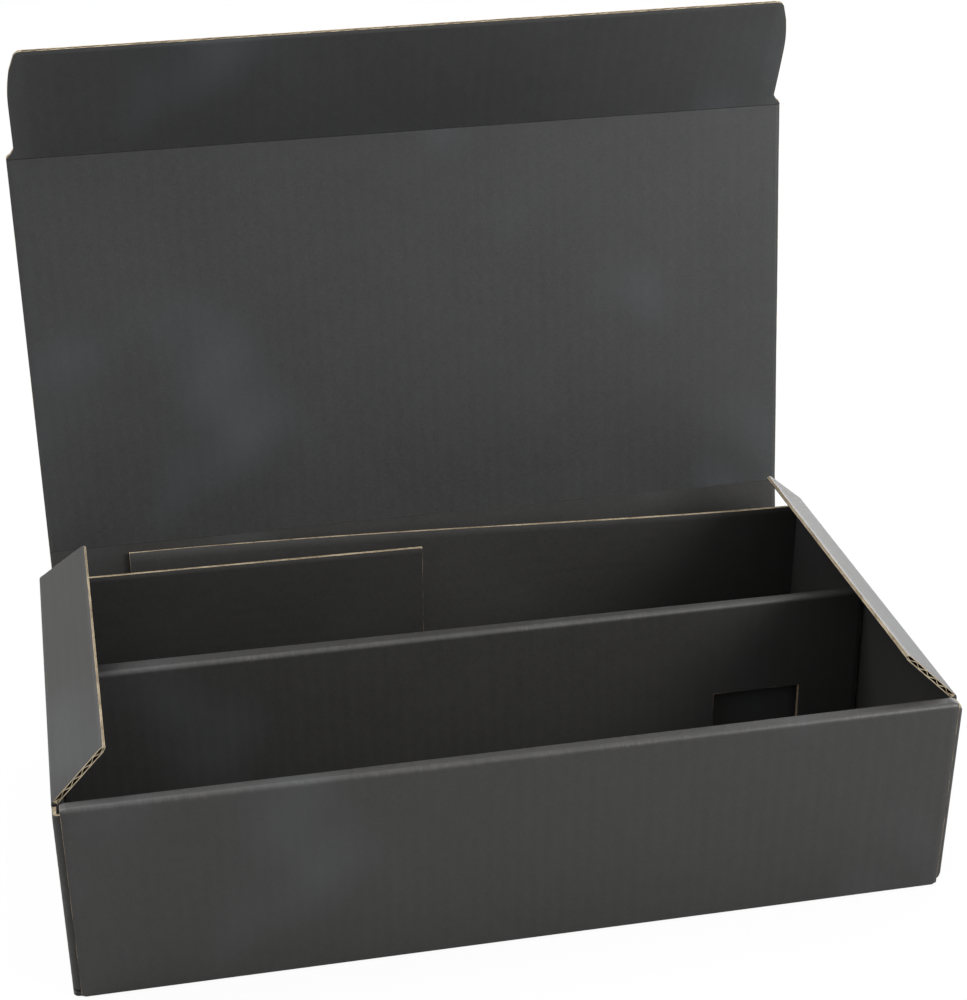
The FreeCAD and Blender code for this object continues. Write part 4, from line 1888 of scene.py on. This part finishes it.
@dataclass
class Creases(BoxPart):
    """Creased board that bends round each moving crease, from one panel to the next.

    Attributes:
        steps: Facets of a crease's round outside.
        least_wear_and_highlight: How far a crease is scuffed and painted with a highlight at its
            sides.
        lid_pressed: How deep the middle of the lid's crease is pressed in.
        column_step: Distance between the columns of the dust flaps' creases.
    """

    steps: int = 8
    least_wear_and_highlight: float = 0.25
    lid_pressed: float = 0.00015
    column_step: float = 0.02

    def build(self) -> list[bpy.types.Object]:
        """Builds all five creases.

        Returns:
            The pieces.
        """
        sizes = self.sizes
        half = sizes.lid_width / 2
        board, slit, bevel = sizes.board, sizes.slit, sizes.lid_bevel
        back_run, back_out = sizes.back_way()
        lid_run, lid_out = sizes.lid_way()
        tuck_run, tuck_out = sizes.lid_way(sizes.tuck_bend)
        flutes = self.fine_marks(-half, half)
        pieces = [
            self.crease("floor_crease", ("tray", "back_wall"), sizes.floor_axis,
                        (-UP * board - ALONG_Y * sizes.fit_gap, back_out * board + back_run * slit),
                        ALONG_X, (-half, half), flutes),
            self.crease("lid_crease", ("back_wall", "lid"), sizes.lid_axis,
                        (back_out * board - back_run * bevel, lid_out * board + lid_run * bevel),
                        ALONG_X, (-half, half), flutes, 1.0, self.lid_pressed),
            self.crease("tuck_crease", ("lid", "tuck_flap"), sizes.tuck_axis,
                        (lid_out * board - lid_run * slit, tuck_out * board + tuck_run * slit),
                        ALONG_X, (-half, half), flutes),
        ]
        for side in Side:
            run, out = sizes.flap_way(side)
            limits = (sizes.flap_front, sizes.flap_rear(side))
            pieces.append(self.crease(
                f"dust_crease_{side.word}", ("tray", f"dust_flap_{side.word}"),
                sizes.flap_axis(side),
                (ALONG_X * (side * board) - UP * slit, out * board + run * slit),
                ALONG_Y, limits, steps_between(*limits, self.column_step),
            ))
        return pieces

    def crease(
        self, name: str, bodies: tuple[str, str], axis: Vector, ends: tuple[Vector, Vector],
        across: Vector, limits: tuple[float, float], marks: list[float],
        flatness: float = 0.0, pressed: float = 0.0,
    ) -> bpy.types.Object:
        """Builds one crease's wedge of creased board.

        Args:
            name: Name of the piece.
            bodies: The two bodies that it joins; not used.
            axis: A point on the crease's axis.
            ends: From the axis to the outer edge of each panel.
            across: Direction along the crease.
            limits: Where the crease begins and ends.
            marks: Places along it at which columns are wanted.
            flatness: 1 where its outside is flat at rest, 0 where it is round.
            pressed: How deep its middle is pressed in.

        Returns:
            The piece.
        """
        first, second = ends
        angle = first.angle(second)
        core = self.sizes.slit
        stations = []
        for step in range(self.steps + 1):
            share = step / self.steps
            sweep = (first.normalized() * math.sin((1 - share) * angle)
                     + second.normalized() * math.sin(share * angle)) / math.sin(angle)
            rounded = first.length * (1 - share) + second.length * share
            flat = (first * (1 - share) + second * share).length
            reach = rounded + (flat - rounded) * flatness - pressed * math.sin(math.pi * share)
            run = across.cross(sweep)
            if run.dot(second - first) < 0:
                run.negate()
            # Scuffing and painted highlight are strongest at the middle of the crease's round.
            stations.append(Station(
                axis + sweep * core, sweep * (reach - core), run, across,
                share * angle * reach, *limits,
                self.least_wear_and_highlight + (1 - self.least_wear_and_highlight) * math.sin(math.pi * share), 0.0,
            ))
        flutes = Flutes.WITH_PATH if across is ALONG_X else Flutes.WITH_SPREAD
        sheet = BoardSheet(self.board, stations, marks, flutes, Borders(*[Border.CREASE] * 4))
        piece = self.dress(sheet.build(name))
        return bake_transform(piece)


@dataclass(frozen=True)
class ProductCamera:
    """Camera at the photograph's place and angle.

    Attributes:
        place: Where it stands.
        yaw: Degrees to the right of straight ahead.
        pitch: Degrees of its tilt.
        roll: Degrees about its line of sight.
        focal: Focal length in millimetres.
        frame: Width of the frame in millimetres.
        shift: Shift of the frame.
        nearest: Distance at which the view begins.
    """

    place: tuple[float, float, float] = (-0.17086, -0.80073, 0.58722)
    yaw: float = -9.52
    pitch: float = -28.69
    roll: float = 1.33
    focal: float = 72.74
    frame: float = 36.0
    shift: tuple[float, float] = (0.0891, 0.0597)
    nearest: float = 0.05

    def build(self) -> bpy.types.Object:
        """Builds the camera and makes it the scene's.

        Returns:
            The camera's object.
        """
        lens = bpy.data.cameras.new("photo_view")
        lens.lens = self.focal
        lens.sensor_width = self.frame
        lens.shift_x, lens.shift_y = self.shift
        lens.clip_start = self.nearest
        camera = bpy.data.objects.new("photo_view", lens)
        turns = ((self.yaw, "Z"), (self.pitch, "X"), (self.roll, "Y"), (90.0, "X"))
        facing = Matrix.Identity(4)
        for degrees, axis in turns:
            facing = facing @ Matrix.Rotation(math.radians(degrees), 4, axis)
        camera.matrix_world = Matrix.Translation(self.place) @ facing
        bpy.context.scene.collection.objects.link(camera)
        bpy.context.scene.camera = camera
        return camera


@dataclass(frozen=True)
class SoftBox:
    """An area light.

    Attributes:
        name: Its name.
        place: Where it hangs.
        size: Its side.
        power: Its power in watts.
    """

    name: str
    place: tuple[float, float, float]
    size: float
    power: float

    def build(self, target: Vector) -> bpy.types.Object:
        """Builds the light.

        Args:
            target: The point that it is turned towards.

        Returns:
            The light's object.
        """
        lamp = bpy.data.lights.new(self.name, "AREA")
        lamp.size = self.size
        lamp.energy = self.power
        light = bpy.data.objects.new(self.name, lamp)
        light.location = self.place
        light.rotation_euler = (target - Vector(self.place)).to_track_quat("-Z", "Y").to_euler()
        bpy.context.scene.collection.objects.link(light)
        return light


@dataclass(frozen=True)
class Studio:
    """Pale floor, white surroundings and soft lights.

    Attributes:
        low: Strength of the surroundings at the horizon and below.
        high: Their strength overhead.
        target: The point that the lights are turned towards.
        floor_half: Half the floor's side.
        floor_grey: Brightness of the floor's paint.
        floor_rough: Its roughness.
        glow: Strength of the white that the camera sees on the floor.
        glow_share: How much of it the camera sees, beside the paint with the box's shadow.
        boxes: The lights.
    """

    low: float = 0.2
    high: float = 1.2
    target: tuple[float, float, float] = (0.0, 0.0, 0.1)
    floor_half: float = 6.0
    floor_grey: float = 0.38
    floor_rough: float = 0.9
    glow: float = 1.08
    glow_share: float = 0.86
    boxes: tuple[SoftBox, ...] = (
        SoftBox("key_right", (0.9, -0.7, 0.8), 0.6, 12.5),
        SoftBox("top_soft", (-1.0, 0.55, 1.45), 1.3, 25.0),
        SoftBox("rim_right", (1.35, 1.15, 0.3), 1.0, 16.0),
    )

    def build(self) -> None:
        """Builds the floor, the surroundings and the lights."""
        for box in self.boxes:
            box.build(Vector(self.target))
        self.floor()
        self.surroundings()

    def surroundings(self) -> None:
        """Makes the world white where the camera sees it, and plain soft light elsewhere."""
        world = bpy.data.worlds.new("studio")
        world.use_nodes = True
        world.node_tree.nodes.clear()
        desk = NodeDesk(world.node_tree)
        sight = desk.add("ShaderNodeLightPath").outputs["Is Camera Ray"]
        way = desk.add("ShaderNodeTexCoord").outputs["Generated"]
        rise = desk.add("ShaderNodeSeparateXYZ", {0: way}).outputs[2]
        soft = desk.add("ShaderNodeMapRange",
                        {0: rise, 1: 0.0, 2: 1.0, 3: self.low, 4: self.high})
        strength = desk.add("ShaderNodeMix", {0: sight, 2: soft.outputs[0], 3: 1.0},
                            data_type="FLOAT")
        shine = desk.add("ShaderNodeBackground",
                         {"Color": (1, 1, 1, 1), "Strength": strength.outputs[0]})
        desk.add("ShaderNodeOutputWorld", {"Surface": shine.outputs[0]})
        bpy.context.scene.world = world

    def floor(self) -> bpy.types.Object:
        """Builds the floor, almost white to the camera, with the box's soft shadow on it.

        Returns:
            The floor's object.
        """
        mesh = bpy.data.meshes.new("studio_floor")
        corners = ((-1, -1), (1, -1), (1, 1), (-1, 1))
        mesh.from_pydata([(x * self.floor_half, y * self.floor_half, 0) for x, y in corners],
                         [], [(0, 1, 2, 3)])
        floor = bpy.data.objects.new("studio_floor", mesh)
        bpy.context.scene.collection.objects.link(floor)
        desk, shader = blank_material("pale_floor")
        paint = (self.floor_grey, self.floor_grey, self.floor_grey, 1)
        desk.feed(shader, {"Base Color": paint, "Roughness": self.floor_rough})
        sight = desk.add("ShaderNodeLightPath").outputs["Is Camera Ray"]
        glow = desk.add("ShaderNodeEmission", {"Color": (1, 1, 1, 1), "Strength": self.glow})
        part = desk.math("MULTIPLY", sight, self.glow_share)
        mixed = desk.add("ShaderNodeMixShader", {0: part, 1: shader.outputs[0], 2: glow.outputs[0]})
        output = next(node for node in desk.tree.nodes if node.type == "OUTPUT_MATERIAL")
        desk.tree.links.new(mixed.outputs[0], output.inputs["Surface"])
        mesh.materials.append(desk.owner)
        return floor


def main() -> None:
    """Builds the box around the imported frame."""
    logging.basicConfig(level=logging.INFO, format="%(name)s: %(message)s")
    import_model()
    board = Board()
    papers = Papers.make(board)
    ProductCamera().build()
    Studio().build()
    shared = (BoxSizes(), board, papers)
    parts = [kind(*shared) for kind in (
        Trough, FrontAndDivider, CornerTabs, TwistedTab, BackAndLid
    )]
    parts += [DustFlap(*shared, side) for side in Side]
    parts.append(Creases(*shared))
    for part in parts:
        for piece in part.build():
            LOG.info("%s: %d faces", piece.name, len(piece.data.polygons))
    bpy.context.scene.view_settings.view_transform = "Standard"


if __name__ == "__main__":
    main()
